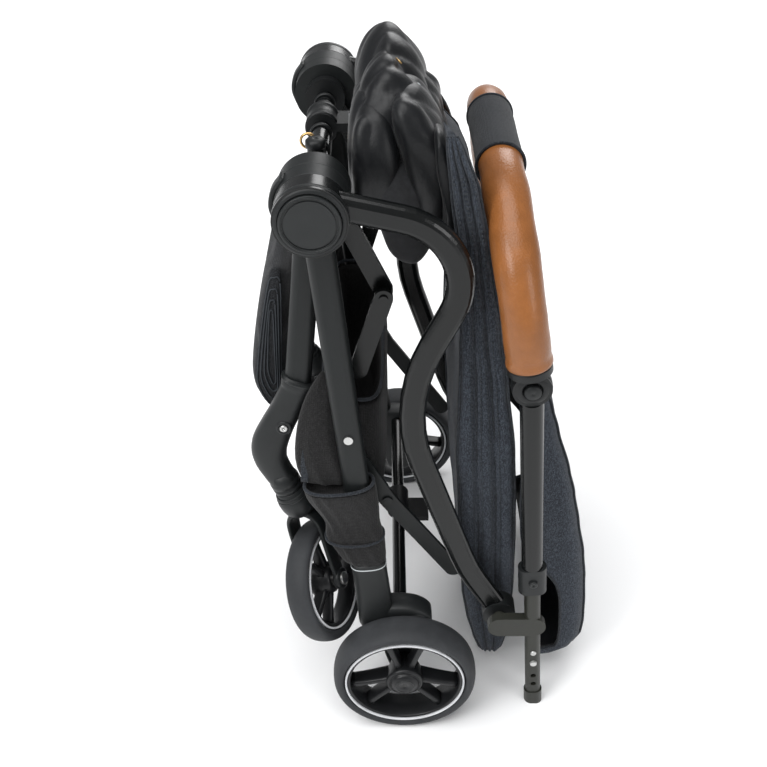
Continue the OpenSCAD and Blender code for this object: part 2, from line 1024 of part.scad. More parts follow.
// The tilt joint: a round housing at the top of the outer tube, with the button in its face.
module tilt_joint() {
    color("black")
        difference() {
            y_rod(tilt_x, tilt_z, tilt_r, -handle_y - 7, -handle_y + 8);
            y_rod(tilt_x, tilt_z, button_r + 0.3, -handle_y - 20, -handle_y + 1);
        }
}

module left_tilt_joint() {
    tilt_joint();
}

module right_tilt_joint() {
    mirrored()
        tilt_joint();
}

module tilt_button() {
    color("black")
        y_rod(tilt_x, tilt_z, button_r, -handle_y - 10, -handle_y - 10 + button_t);
}

module left_tilt_button() {
    tilt_button();
}

module right_tilt_button() {
    mirrored()
        tilt_button();
}

// Places children on the grip's plane: X across the stroller, Y up the bar from the tilt axis.
module on_grip() {
    translate([tilt_x, 0, tilt_z])
        rotate([0, -grip_lean, 0])
            rotate([90, 0, 90])
                children();
}

grip_low = tilt_r + 7;
neck_h = 6.4;
cheek_t = 8;

module grip_bar() {
    straight = grip_rise - grip_bend - grip_low;
    half = handle_y - grip_bend;
    color("saddlebrown")
        on_grip()
            for (m = [0, 1])
                mirror([m, 0, 0]) {
                    translate([handle_y, grip_low, 0])
                        rotate([-90, 0, 0])
                            cylinder(h = straight, r = grip_r);
                    translate([half, grip_low + straight, 0])
                        rotate_extrude(angle = 90, $fn = 96)
                            translate([grip_bend, 0])
                                circle(r = grip_r);
                    translate([sleeve_len / 2, grip_rise, 0])
                        rotate([0, 90, 0])
                            cylinder(h = half - sleeve_len / 2, r = grip_r);
                    translate([0, grip_rise, 0])
                        rotate([0, 90, 0])
                            cylinder(h = sleeve_len / 2, r = grip_core_r);
                }
}

// Ends of the grip bar: a cap under each padded end, and a cheek that turns beside the tilt joint.
module grip_joints() {
    cheek_out = handle_y - 8 - face_gap;
    color("black")
        on_grip()
            for (m = [0, 1])
                mirror([m, 0, 0]) {
                    translate([handle_y, grip_low - neck_h, 0])
                        rotate([-90, 0, 0])
                            cylinder(h = neck_h, r = grip_r);
                    translate([cheek_out - cheek_t, 0, 0])
                        rotate([90, 0, 90])
                            linear_extrude(cheek_t) {
                                circle(r = tilt_r - 2);
                                translate([0, -tilt_r + 2])
                                    square([grip_low, 2 * tilt_r - 4]);
                            }
                }
}

module grip_sleeve() {
    color("dimgray")
        on_grip()
            translate([-sleeve_len / 2, grip_rise, 0])
                rotate([0, 90, 0])
                    difference() {
                        cylinder(h = sleeve_len, r = grip_r + sleeve_proud);
                        translate([0, 0, -1])
                            cylinder(h = sleeve_len + 2, r = grip_core_r);
                    }
}

cross_tube();
hub_pins();
cross_clamp();
clamp_knob();
catch_plate();
left_rear_leg();
right_rear_leg();
left_rear_housing();
right_rear_housing();
rear_cross_bar();
rear_axles();
leg_screws();
basket();
brake_pedal();
left_seat_bracket();
right_seat_bracket();
left_seat_link();
right_seat_link();
left_seat_rail();
right_seat_rail();
left_front_leg();
right_front_leg();
left_elbow();
right_elbow();
footrest_bar();
leg_rest_pad();
left_caster_fork();
right_caster_fork();
caster_axles_left();
caster_axles_right();
left_front_tyre();
left_front_rim();
right_front_tyre();
right_front_rim();
left_rear_tyre();
left_rear_rim();
right_rear_tyre();
right_rear_rim();
left_side_tube();
right_side_tube();
hub_caps();
left_knuckle();
right_knuckle();
seat_back_cover();
canopy_rear();
canopy_front();
left_inner_tube();
right_inner_tube();
tail_rivets();
left_outer_tube();
right_outer_tube();
left_connector();
right_connector();
left_tilt_joint();
right_tilt_joint();
grip_bar();
grip_sleeve();
grip_joints();
left_tilt_button();
right_tilt_button();
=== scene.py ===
import json
import math
import random
import bpy
import numpy as np
from mathutils import Matrix, Vector


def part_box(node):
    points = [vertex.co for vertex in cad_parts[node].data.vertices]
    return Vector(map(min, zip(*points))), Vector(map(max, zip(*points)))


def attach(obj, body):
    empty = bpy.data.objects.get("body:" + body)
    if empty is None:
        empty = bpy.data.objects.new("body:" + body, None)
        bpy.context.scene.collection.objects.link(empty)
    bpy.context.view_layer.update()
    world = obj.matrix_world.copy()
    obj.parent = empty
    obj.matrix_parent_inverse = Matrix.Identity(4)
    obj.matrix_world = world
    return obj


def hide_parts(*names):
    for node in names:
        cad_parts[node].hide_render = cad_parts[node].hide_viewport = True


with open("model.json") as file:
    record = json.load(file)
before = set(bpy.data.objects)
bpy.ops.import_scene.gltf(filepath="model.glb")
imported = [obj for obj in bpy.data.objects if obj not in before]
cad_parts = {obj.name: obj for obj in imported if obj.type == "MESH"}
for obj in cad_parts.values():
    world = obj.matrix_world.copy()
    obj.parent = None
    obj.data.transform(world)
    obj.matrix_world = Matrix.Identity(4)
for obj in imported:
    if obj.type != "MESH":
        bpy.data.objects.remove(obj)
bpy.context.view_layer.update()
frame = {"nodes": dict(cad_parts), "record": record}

# The stroller stands folded. X runs front to back, Y across, Z up, in metres.
# The left side is at -Y and is nearest to the camera.

NODES = frame["nodes"]
MM = 0.001


def vec(x, y, z):
    """A point given in millimetres."""
    return Vector((x * MM, y * MM, z * MM))


# The hub axis, found from the cross tube: every place along the frame is told from it.
_low, _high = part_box("cross_tube")
HUB_X = (_low.x + _high.x) / 2 / MM
HUB_Z = (_low.z + _high.z) / 2 / MM


def at(dx, y, z):
    """A point dx mm behind the hub axis, y mm across and z mm above the floor."""
    return vec(HUB_X + dx, y, z)


# ---------------------------------------------------------------- materials

class Nodes:
    """A material with a Principled shader and short calls for its texture nodes."""

    def __init__(self, name, color, roughness, metallic=0.0, **sockets):
        self.material = bpy.data.materials.new(name)
        self.material.use_nodes = True
        self.tree = self.material.node_tree
        self.shader = self.tree.nodes["Principled BSDF"]
        self.shader.inputs["Base Color"].default_value = (*color, 1)
        self.shader.inputs["Roughness"].default_value = roughness
        self.shader.inputs["Metallic"].default_value = metallic
        self.shader.inputs["Specular IOR Level"].default_value = 0.3
        for key, value in sockets.items():
            self.shader.inputs[key.replace("_", " ")].default_value = value
        self.coords = self.tree.nodes.new("ShaderNodeTexCoord").outputs["Object"]

    def add(self, kind, **values):
        node = self.tree.nodes.new(kind)
        for key, value in values.items():
            name = key.replace("_", " ")
            if name in node.inputs:
                node.inputs[name].default_value = value
            else:
                setattr(node, key, value)
        return node

    def link(self, a, b):
        self.tree.links.new(a, b)

    def noise(self, scale, detail=4.0, roughness=0.5, coords=None):
        node = self.add("ShaderNodeTexNoise", Scale=scale, Detail=detail, Roughness=roughness)
        self.link(coords or self.coords, node.inputs["Vector"])
        return node.outputs["Fac"]

    def stretched(self, x, y, z):
        node = self.add("ShaderNodeMapping")
        node.inputs["Scale"].default_value = (x, y, z)
        self.link(self.coords, node.inputs["Vector"])
        return node.outputs["Vector"]

    def ramp(self, fac, stops):
        node = self.add("ShaderNodeValToRGB")
        ramp = node.color_ramp
        ramp.elements[0].position, ramp.elements[0].color = stops[0][0], (*stops[0][1], 1)
        ramp.elements[1].position, ramp.elements[1].color = stops[-1][0], (*stops[-1][1], 1)
        for place, color in stops[1:-1]:
            ramp.elements.new(place).color = (*color, 1)
        self.link(fac, node.inputs["Fac"])
        return node.outputs["Color"]

    def color(self, fac, *stops):
        self.link(self.ramp(fac, stops), self.shader.inputs["Base Color"])

    def rough(self, fac, low, high):
        node = self.add("ShaderNodeMapRange")
        node.inputs["To Min"].default_value = low
        node.inputs["To Max"].default_value = high
        self.link(fac, node.inputs["Value"])
        self.link(node.outputs["Result"], self.shader.inputs["Roughness"])

    def bump(self, *layers):
        """Layers of (height, strength, distance), each on top of the one before."""
        normal = None
        for height, strength, distance in layers:
            node = self.add("ShaderNodeBump", Strength=strength, Distance=distance)
            self.link(height, node.inputs["Height"])
            if normal:
                self.link(normal, node.inputs["Normal"])
            normal = node.outputs["Normal"]
        self.link(normal, self.shader.inputs["Normal"])


def shade(color, factor):
    return tuple(min(1.0, c * factor) for c in color)


def weave(m, threads):
    """A plain weave's height: bands along X, Y and Z, in threads to the metre."""
    waves = []
    for direction in ("X", "Y", "Z"):
        node = m.add("ShaderNodeTexWave", Scale=threads / 6.2832, Distortion=0.6)
        node.bands_direction = direction
        node.inputs["Detail"].default_value = 1.0
        m.link(m.coords, node.inputs["Vector"])
        waves.append(node.outputs["Fac"])
    total = waves[0]
    for wave in waves[1:]:
        add = m.add("ShaderNodeMath", operation="ADD")
        m.link(total, add.inputs[0])
        m.link(wave, add.inputs[1])
        total = add.outputs[0]
    return total


def paint(name, color, roughness, grain=900, coat=0.0):
    """Powder coat or gloss paint on a tube, with a fine orange peel and faint scuffs."""
    m = Nodes(name, color, roughness, Coat_Weight=coat, Coat_Roughness=0.12)
    scuffs = m.noise(38, 6, 0.7, m.stretched(1, 1, 0.25))
    m.color(scuffs, (0.35, shade(color, 0.82)), (0.6, color), (0.8, shade(color, 1.28)))
    m.rough(scuffs, roughness * 0.8, min(1, roughness * 1.35))
    m.bump((m.noise(grain, 2), 0.12, 0.0004), (m.noise(60, 3), 0.06, 0.001))
    return m.material


def plastic(name, color, roughness=0.55, grain=1600):
    """Moulded nylon with a spark-eroded grain."""
    m = Nodes(name, color, roughness)
    cloud = m.noise(30, 5, 0.6)
    m.color(cloud, (0.3, shade(color, 0.85)), (0.7, shade(color, 1.18)))
    m.rough(cloud, roughness * 0.88, min(1, roughness * 1.12))
    m.bump((m.noise(grain, 3, 0.7), 0.22, 0.0003))
    return m.material


def metal(name, color, roughness, grain=(1, 1, 0.04)):
    """Brushed or plated metal."""
    m = Nodes(name, color, roughness, metallic=1.0)
    lines = m.noise(700, 3, 0.6, m.stretched(*grain))
    m.rough(lines, roughness * 0.75, min(1, roughness * 1.3))
    m.bump((lines, 0.08, 0.0002))
    return m.material


def rubber(name, color):
    """Foam-filled tyre rubber, dusty at the crown."""
    m = Nodes(name, color, 0.62)
    dust = m.noise(24, 7, 0.7)
    m.color(dust, (0.3, shade(color, 0.72)), (0.55, color), (0.8, shade(color, 1.45)))
    m.rough(dust, 0.52, 0.8)
    m.bump((m.noise(1300, 3, 0.7), 0.25, 0.0004), (m.noise(90, 4), 0.1, 0.001))
    return m.material


def leather(name, color):
    """Leatherette with a pebbled grain and darker creases."""
    m = Nodes(name, color, 0.34, Coat_Weight=0.22, Coat_Roughness=0.2)
    pebbles = m.add("ShaderNodeTexVoronoi", Scale=620)
    m.link(m.coords, pebbles.inputs["Vector"])
    pebble = pebbles.outputs["Distance"]
    cloud = m.noise(45, 6, 0.65)
    m.color(cloud, (0.25, shade(color, 0.8)), (0.55, color), (0.85, shade(color, 1.25)))
    m.rough(cloud, 0.27, 0.45)
    m.bump((pebble, 0.35, 0.0006), (m.noise(240, 3), 0.18, 0.0008))
    return m.material


def melange(name, color, light, threads=1500, contrast=1.0):
    """Heather cloth: pale and dark fibres mixed in short streaks over a plain weave."""
    m = Nodes(name, color, 0.92, Sheen_Weight=0.10, Sheen_Roughness=0.5)
    fibres = m.noise(900, 3, 0.75, m.stretched(1.0, 1.0, 0.3))
    blots = m.noise(1400, 2, 0.6)
    mix = m.add("ShaderNodeMath", operation="MULTIPLY_ADD")
    mix.inputs[1].default_value = 0.55
    m.link(blots, mix.inputs[0])
    scaled = m.add("ShaderNodeMath", operation="MULTIPLY")
    scaled.inputs[1].default_value = 0.45
    m.link(fibres, scaled.inputs[0])
    m.link(scaled.outputs[0], mix.inputs[2])
    spread = 0.085 / contrast
    m.color(mix.outputs[0], (0.5 - spread, shade(color, 0.55)), (0.5, color), (0.5 + spread, light))
    m.bump((weave(m, threads), 0.3, 0.0005), (m.noise(260, 4), 0.12, 0.0012))
    return m.material


def satin(name, color, roughness=0.36):
    """Coated lining cloth: dark, smooth and shiny on its folds."""
    m = Nodes(name, color, roughness, Sheen_Weight=0.06, Sheen_Roughness=0.35)
    cloud = m.noise(14, 5, 0.6)
    m.color(cloud, (0.3, shade(color, 0.7)), (0.75, shade(color, 1.5)))
    m.rough(cloud, roughness * 0.85, roughness * 1.3)
    m.bump((weave(m, 2600), 0.12, 0.0003), (m.noise(70, 5, 0.6), 0.22, 0.003))
    return m.material


def velvet(name, color):
    m = Nodes(name, color, 0.95, Sheen_Weight=0.22, Sheen_Roughness=0.4)
    pile = m.noise(55, 6, 0.7)
    m.color(pile, (0.3, shade(color, 0.6)), (0.7, shade(color, 1.5)))
    m.bump((m.noise(1500, 2), 0.3, 0.0006), (pile, 0.15, 0.002))
    return m.material


GREY_TUBE = (0.0095, 0.0112, 0.0115)
MATS = {
    "frame_tube": paint("leg_paint", GREY_TUBE, 0.42),
    "gloss_tube": paint("gloss_paint", (0.0045, 0.0052, 0.0053), 0.22, coat=0.08),
    # The inner tubes' olive colour is a painted sheen: the lighter, warmer tint stands in for the brownish
    # reflection of the light on them.
    "inner_alu": paint("painted_olive_sheen", (0.026, 0.027, 0.022), 0.36),
    "casting": plastic("nylon_casting", (0.012, 0.0135, 0.014), 0.44),
    "black_plastic": plastic("black_nylon", (0.009, 0.010, 0.0105), 0.42),
    "tyre": rubber("tyre_rubber", (0.032, 0.034, 0.037)),
    "rim": plastic("rim_nylon", (0.009, 0.0095, 0.0105), 0.36),
    "pale_ring": plastic("pale_ring", (0.62, 0.63, 0.65), 0.4),
    "steel": metal("zinc_steel", (0.55, 0.55, 0.54), 0.33),
    "brass": metal("pull_brass", (0.62, 0.40, 0.16), 0.3),
    "cap": plastic("cap_nylon", (0.015, 0.0168, 0.0172), 0.36),
    "pale_plastic": plastic("pale_nylon", (0.46, 0.49, 0.5), 0.45),
    "pedal": plastic("pedal_nylon", (0.010, 0.0105, 0.011), 0.45),
    "grip_leather": leather("tan_leather", (0.27, 0.098, 0.026)),
    "sleeve_fabric": melange("sleeve_cloth", (0.014, 0.016, 0.019), (0.034, 0.038, 0.044), 1800),
    "satin_fabric": satin("black_satin", (0.0055, 0.006, 0.007)),
    "melange_fabric": melange("grey_melange", (0.021, 0.0265, 0.036), (0.066, 0.078, 0.098)),
    "pad_fabric": melange("pad_cloth", (0.012, 0.013, 0.015), (0.03, 0.032, 0.036), 1300),
    "basket_fabric": melange("basket_cloth", (0.0075, 0.0072, 0.0075), (0.018, 0.0175, 0.018), 1100),
    "velvet": velvet("charcoal_velvet", (0.016, 0.0165, 0.018)),
    "piping": melange("piping_cloth", (0.014, 0.017, 0.022), (0.04, 0.046, 0.055), 2400),
    "thread": plastic("thread", (0.035, 0.04, 0.046), 0.8, 3000),
    "tan_thread": plastic("tan_thread", (0.20, 0.125, 0.07), 0.8, 3000),
}

for entry in frame["record"]["subparts"]:
    node = NODES[entry["node"]]
    node.data.materials.clear()
    node.data.materials.append(MATS[entry["material_slot"]])
    node.data.polygons.foreach_set("use_smooth", [True] * len(node.data.polygons))
    node.data.set_sharp_from_angle(angle=math.radians(32))


# ---------------------------------------------------------------- mesh helpers

def new_piece(name, verts, faces, body, material):
    """A mesh that rides a body; its material slot has the material's name."""
    if FLIP[0]:
        verts = [(v[0], -v[1], v[2]) for v in verts]
        faces = [tuple(reversed(face)) for face in faces]
    mesh = bpy.data.meshes.new(name)
    mesh.from_pydata([tuple(v) for v in verts], [], faces)
    mesh.validate()
    mesh.update()
    piece = bpy.data.objects.new(name, mesh)
    bpy.context.scene.collection.objects.link(piece)
    finish_piece(piece, body, material)
    return piece


def finish_piece(piece, body, material):
    """Gives a mesh its material, smooth faces, body and material slot."""
    piece.data.materials.clear()
    piece.data.materials.append(MATS[material])
    piece.data.polygons.foreach_set("use_smooth", [True] * len(piece.data.polygons))
    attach(piece, body)


def ring_faces(rows, count, closed=True, capped=True):
    """Quads between successive rows of count points, with an end cap on the first and last."""
    faces = []
    around = count if closed else count - 1
    for i in range(rows - 1):
        for k in range(around):
            n = (k + 1) % count
            faces.append((i * count + k, i * count + n, (i + 1) * count + n, (i + 1) * count + k))
    if capped:
        faces.append(tuple(reversed(range(count))))
        faces.append(tuple(range((rows - 1) * count, rows * count)))
    return faces


def loft(name, rings, body, material, capped=True):
    verts = [p for ring in rings for p in ring]
    faces = ring_faces(len(rings), len(rings[0]), True, capped)
    return new_piece(name, verts, faces, body, material)


def spline(points, steps=8, closed=False):
    """A Catmull-Rom curve through the points."""
    pts = [Vector(p) for p in points]
    n = len(pts)
    out = []
    for i in range(n if closed else n - 1):
        p0 = pts[(i - 1) % n] if closed or i > 0 else pts[0] * 2 - pts[1]
        p1, p2 = pts[i], pts[(i + 1) % n]
        p3 = pts[(i + 2) % n] if closed or i + 2 < n else pts[-1] * 2 - pts[-2]
        for k in range(steps):
            t = k / steps
            out.append(0.5 * (2 * p1 + (p2 - p0) * t + (2 * p0 - 5 * p1 + 4 * p2 - p3) * t * t
                              + (3 * p1 - 3 * p2 + p3 - p0) * t ** 3))
    if not closed:
        out.append(pts[-1])
    return out


def frames(path, hint, closed=False):
    """Tangent, side and up at each point of a path, carried along it without twist."""
    out = []
    side = Vector(hint)
    n = len(path)
    for i in range(n):
        a = path[i - 1] if closed or i > 0 else path[i]
        b = path[(i + 1) % n] if closed or i + 1 < n else path[i]
        tangent = (b - a).normalized()
        side = (side - tangent * side.dot(tangent)).normalized()
        out.append((tangent, side, tangent.cross(side)))
    return out


def oval_section(width, thick, count=24, power=2.0):
    """Points round a superellipse: power 2 is an ellipse, 4 a rounded box."""
    out = []
    for k in range(count):
        a = 2 * math.pi * (k + 0.5) / count
        c, s = math.cos(a), math.sin(a)
        out.append((width / 2 * math.copysign(abs(c) ** (2 / power), c),
                    thick / 2 * math.copysign(abs(s) ** (2 / power), s)))
    return out


def mm_section(width, thick, count, power):
    return oval_section(width * MM, thick * MM, count, power)


def sweep(name, path, section, hint, body, material, capped=True, closed=False):
    """Sweeps a section, or a function of the share of the length, along a path."""
    rings = []
    last = max(1, len(path) - 1)
    for i, (p, (_, side, up)) in enumerate(zip(path, frames(path, hint, closed))):
        outline = section(i / last) if callable(section) else section
        rings.append([p + side * u + up * v for u, v in outline])
    if closed:
        rings.append(rings[0])
        capped = False
    return loft(name, rings, body, material, capped)


def cord_line(name, path, radius, body, material, closed=False, hint=(0, 0, 1)):
    """Piping, a welt or a wire: a thin round sweep, its radius in millimetres."""
    section = mm_section(2 * radius, 2 * radius, 8, 2)
    return sweep(name, path, section, hint, body, material, closed=closed)


def resample(path, pitch):
    """Points along a path at an even pitch."""
    out = [Vector(path[0])]
    left = pitch
    for a, b in zip(path, path[1:]):
        length = (b - a).length
        done = 0.0
        while length - done >= left:
            done += left
            out.append(a.lerp(b, done / length))
            left = pitch
        left -= length - done
    return out


def stitches(name, path, normal, body, material="thread", pitch=4.2, long=2.7, wide=0.55):
    """A row of short raised stitches along a path; normal is a vector or one for each point."""
    points = resample(path, pitch * MM)
    verts, faces = [], []
    for i, p in enumerate(points[:-1]):
        t = (points[i + 1] - p).normalized()
        n = Vector(normal(p) if callable(normal) else normal)
        n = (n - t * n.dot(t)).normalized()
        s = t.cross(n)
        base = len(verts)
        for f, h in ((-0.5, -0.3), (-0.3, 0.35), (0.3, 0.35), (0.5, -0.3)):
            for u in (-1, 1):
                verts.append(p + t * (f * long * MM) + s * (u * wide * MM) + n * (h * wide * 2 * MM))
        for k in range(3):
            faces.append((base + 2 * k, base + 2 * k + 1, base + 2 * k + 3, base + 2 * k + 2))
        faces.append((base, base + 6, base + 7, base + 1))
        faces.append((base, base + 2, base + 4, base + 6))
        faces.append((base + 7, base + 5, base + 3, base + 1))
    return new_piece(name, verts, faces, body, material)


def lathe_rings(profile, segments, matrix):
    """Rings for a closed profile of (radius, height) turned about the matrix's Z axis."""
    rings = []
    for k in range(segments):
        a = 2 * math.pi * k / segments
        rings.append([matrix @ Vector((r * MM * math.cos(a), r * MM * math.sin(a), h * MM))
                      for r, h in profile])
    return rings


def lathe(name, profile, matrix, body, material, segments=96):
    """A closed profile turned into a ring or a solid of revolution."""
    rings = lathe_rings(profile, segments, matrix)
    verts = [p for ring in rings for p in ring]
    count = len(profile)
    faces = []
    for i in range(segments):
        for k in range(count):
            n = (k + 1) % count
            j = (i + 1) % segments
            faces.append((i * count + k, j * count + k, j * count + n, i * count + n))
    return new_piece(name, verts, faces, body, material)


def subdivide(piece, levels=1):
    mod = piece.modifiers.new("smooth", "SUBSURF")
    mod.levels = levels
    mod.render_levels = levels


def wave_noise(p, seeds, scale):
    """A smooth repeatable wobble from -1 to 1 at a point in metres."""
    total = 0.0
    for i, (a, b, c, d) in enumerate(seeds):
        total += math.sin(scale * (a * p.x + b * p.y + c * p.z) + d) / (1 + 0.5 * i)
    return total / 2.2


def make_seeds(number, seed):
    rng = random.Random(seed)
    return [(rng.uniform(-1, 1), rng.uniform(-1, 1), rng.uniform(-1, 1), rng.uniform(0, 6.28))
            for _ in range(number)]


def push_points(piece, amount):
    """Moves every vertex along its normal by amount(point, normal), in metres."""
    mesh = piece.data
    normals = [v.normal.copy() for v in mesh.vertices]
    for v, n in zip(mesh.vertices, normals):
        v.co += n * amount(v.co, n)
    mesh.update()


def inflate(piece, voxel, pressure, cap, frames_run=20):
    """Fills a closed mesh like a cushion by cloth simulation, with its movement capped."""
    mesh = piece.data
    mesh.remesh_voxel_size = voxel * MM
    with bpy.context.temp_override(active_object=piece, object=piece, selected_objects=[piece]):
        bpy.context.view_layer.objects.active = piece
        bpy.ops.object.voxel_remesh()
    start = np.array([v.co for v in piece.data.vertices])
    mod = piece.modifiers.new("cloth", "CLOTH")
    cloth = mod.settings
    cloth.quality = 5
    cloth.use_pressure = True
    cloth.uniform_pressure_force = pressure
    cloth.tension_stiffness = 12
    cloth.compression_stiffness = 12
    cloth.bending_stiffness = 0.6
    cloth.effector_weights.gravity = 0
    mod.point_cache.frame_start = 1
    mod.point_cache.frame_end = frames_run
    scene = bpy.context.scene
    for number in range(1, frames_run + 1):
        scene.frame_set(number)
    posed = piece.evaluated_get(bpy.context.evaluated_depsgraph_get())
    end = np.array([v.co for v in posed.data.vertices])
    piece.modifiers.remove(mod)
    scene.frame_set(1)
    move = end - start
    size = np.linalg.norm(move, axis=1, keepdims=True)
    limit = cap * MM
    move *= np.where(size > 1e-9, limit * np.tanh(size / limit) / np.maximum(size, 1e-9), 0)
    piece.data.vertices.foreach_set("co", (start + move).astype(np.float32).ravel())
    piece.data.update()


# ---------------------------------------------------------------- both sides

# Each side piece is modelled on the left. FLIP turns what is being made into its right twin.
FLIP = [False]


def each_side(build):
    for side, flip in (("left", False), ("right", True)):
        FLIP[0] = flip
        build(side)
    FLIP[0] = False


def rows_at(table, z):
    """Reads a table of (height, value, value...) at a height, smoothly between its rows."""
    if z >= table[0][0]:
        return table[0][1:]
    for upper, lower in zip(table, table[1:]):
        if z >= lower[0]:
            t = (upper[0] - z) / (upper[0] - lower[0])
            t = t * t * (3 - 2 * t) * 0.35 + t * 0.65
            return tuple(a + (b - a) * t for a, b in zip(upper[1:], lower[1:]))
    return table[-1][1:]


def crease(s, sharp=0.7):
    """A fold's shape along s: rounded crests and narrow valleys, from -1 to 1."""
    return 1 - 2 * (1 - abs(math.sin(s))) ** (1 / sharp)


def turned(degrees, axis):
    return Matrix.Rotation(math.radians(degrees), 4, axis)


def facing(place, degrees=90):
    """A matrix at a place, its Z axis turned to face across: 90 is out of the left side."""
    return Matrix.Translation(place) @ turned(degrees, "X")


def scaled_rings(curve, levels):
    """Copies of a curve in X and Z at each (y, scale), scaled about its middle."""
    middle = sum(curve, Vector()) / len(curve)
    return [[Vector((middle.x + (p.x - middle.x) * scale, y * MM, middle.z + (p.z - middle.z) * scale))
             for p in curve] for y, scale in levels]


def circle(radius, count):
    """Points round a circle, as pairs."""
    return [(radius * math.cos(a), radius * math.sin(a))
            for a in (2 * math.pi * k / count for k in range(count))]


# ---------------------------------------------------------------- wheels

REAR_R, REAR_W = 74, 34
FRONT_R, FRONT_W = 63, 25
TYRE_DEPTH = 13
TYRE_HALF = 6.6  # half the tyre's thickness from tread to seat


def superellipse(center_r, half_r, half_h, power, count=44):
    return [(center_r + u, h) for u, h in oval_section(2 * half_r, 2 * half_h, count, power)]


def make_wheel(side, kind, matrix, body, r, w, replaced):
    name = f"{side}_{kind}"
    seat = r - TYRE_DEPTH
    tyre = lathe(f"{name}_tyre_cover", superellipse(r - TYRE_HALF, TYRE_HALF, w / 2, 2.25), matrix, body,
                 "tyre", 128)
    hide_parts(replaced + "_tyre")
    for sign in (-1, 1):
        groove = superellipse(r - 3.6, 0.55, 0.7, 2, 10)
        lathe(f"{name}_tyre_line_{'out' if sign > 0 else 'in'}",
              [(p, h + sign * (w / 2 - 3.9)) for p, h in groove], matrix, body, "rim", 128)
    face = w / 2 - 1.2
    for label, sign in (("out", 1), ("in", -1)):
        ring = ((-1.3, -4), (-1.2, -0.4), (-0.6, 0.2), (0.5, 0), (0.8, -1.2), (0.8, -4))
        lathe(f"{name}_pale_ring_{label}", [(seat + p, sign * (face + q)) for p, q in ring],
            matrix, body, "pale_ring", 128)
    rim = lathe(f"{name}_rim_band", [
        (seat, face - 3), (seat - 2.6, face - 1.4), (seat - 3.6, face - 1.2), (seat - 4.6, face - 3),
        (seat - 5.0, 3), (seat - 5.6, 0), (seat - 5.0, -3), (seat - 4.6, -face + 3),
        (seat - 3.6, -face + 1.2), (seat - 0.5, -face + 2)], matrix, body, "rim", 128)
    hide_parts(replaced + "_rim")
    lathe(f"{name}_hub_barrel", [
        (5.3, -face), (12, -face), (14, -face + 2), (15, -face + 6), (17.5, -4), (17.5, 4),
        (19.2, face - 5), (18.6, face - 2.4), (16.6, face - 1.2), (16.2, face - 2.2), (14.8, face - 2.4),
        (14.4, face - 0.6), (13, face + 1.4), (9, face + 2.6), (0.05, face + 2.9), (0.05, face - 6),
        (5.3, face - 6)], matrix, body, "rim", 96)
    lathe(f"{name}_hub_ring", [(p, h + face + 2.5) for p, h in superellipse(9.2, 0.5, 0.45, 2, 10)],
          matrix, body, "cap", 64)
    for third in range(3):
        for sign in (-1, 1):
            path = []
            for k in range(9):
                t = k / 8
                radius = 13 + (seat - 4.5 - 13) * t
                turn = math.radians(120 * third + 90 + sign * (22 - 9 * t + 6 * t * t))
                path.append(matrix @ vec(radius * math.cos(turn), radius * math.sin(turn), 1.5 * t))
            axis = (matrix.to_3x3() @ Vector((0, 0, 1))).normalized()

            def section(t):
                return mm_section(w * 0.55 - 3 * t, 8.6 - 1.8 * math.sin(math.pi * t), 20, 3.6)

            sweep(f"{name}_spoke_{third}_{'a' if sign < 0 else 'b'}", path, section, axis, body, "rim")


REAR_WHEEL = facing(at(78, -191, REAR_R))
SWIVEL = Matrix.Translation(at(-37.5, -118, 270)) @ turned(-21, "Y")
CASTER = SWIVEL @ turned(-106, "Z")
TRAIL, DROP = 25, -112  # the front axle, from the foot of the swivel
FRONT_WHEEL = CASTER @ facing(vec(TRAIL, 0, DROP))


def make_wheels(side):
    make_wheel(side, "rear_wheel", REAR_WHEEL, side + "_rear_wheel", REAR_R, REAR_W, side + "_rear")
    make_wheel(side, "front_wheel", FRONT_WHEEL, side + "_front_wheel", FRONT_R, FRONT_W, side + "_front")


def make_fork(side):
    body = side + "_caster"
    lathe(f"{side}_caster_bell", [
        (8, 0), (13.4, -0.6), (14.6, -1.8), (14.6, -5), (16.2, -6.2), (16.8, -8), (16.2, -9.4),
        (17.3, -11), (17.9, -15), (17.6, -22), (16.2, -28), (13, -33), (8, -36), (0.05, -36), (0.05, -1)],
        SWIVEL, body, "casting", 72)
    for height, radius in ((-5.4, 15.4), (-9.6, 16.5)):
        ring = [(p, h + height) for p, h in superellipse(radius, 0.8, 0.55, 2, 10)]
        lathe(f"{side}_bell_ring_{int(-height)}", ring,
              SWIVEL, body, "cap", 72)
    arch = spline([CASTER @ vec(*p) for p in (
        (25, -17.2, -116), (19, -17.4, -92), (10, -17.4, -66), (3, -16.8, -49), (0, -11, -38),
        (-1, 0, -33), (0, 11, -38), (3, 16.8, -49), (10, 17.4, -66), (19, 17.4, -92), (25, 17.2, -116))], 7)

    def section(t):
        middle = 1 - abs(2 * t - 1)
        return mm_section(17 + 9 * middle ** 0.8, 5.2 + 4.5 * max(0, middle - 0.55), 24, 3.4)

    fork = sweep(f"{side}_caster_arch", arch, section, CASTER.to_3x3() @ Vector((1, 0, 0.3)), body,
                 "casting")
    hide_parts(side + "_caster_fork")
    for sign in (-1, 1):
        boss = CASTER @ facing(vec(TRAIL, sign * 17.3, DROP), -90 * sign)
        lathe(f"{side}_axle_boss_{'a' if sign < 0 else 'b'}", [
            (5.1, -2.8), (10.6, -2.8), (11.4, -1.6), (11.4, 2.4), (10.4, 3.6), (8, 3.9), (5.1, 3.9)],
            boss, body, "casting", 48)
        lathe(f"{side}_axle_dome_{'a' if sign < 0 else 'b'}", [
            (0.05, 3), (6.6, 3), (7, 3.6), (6.6, 5.4), (4.6, 6.6), (3.9, 6), (2.6, 5.6), (0.05, 5.6)],
            boss, body, "steel", 40)


# ---------------------------------------------------------------- elbows and housings

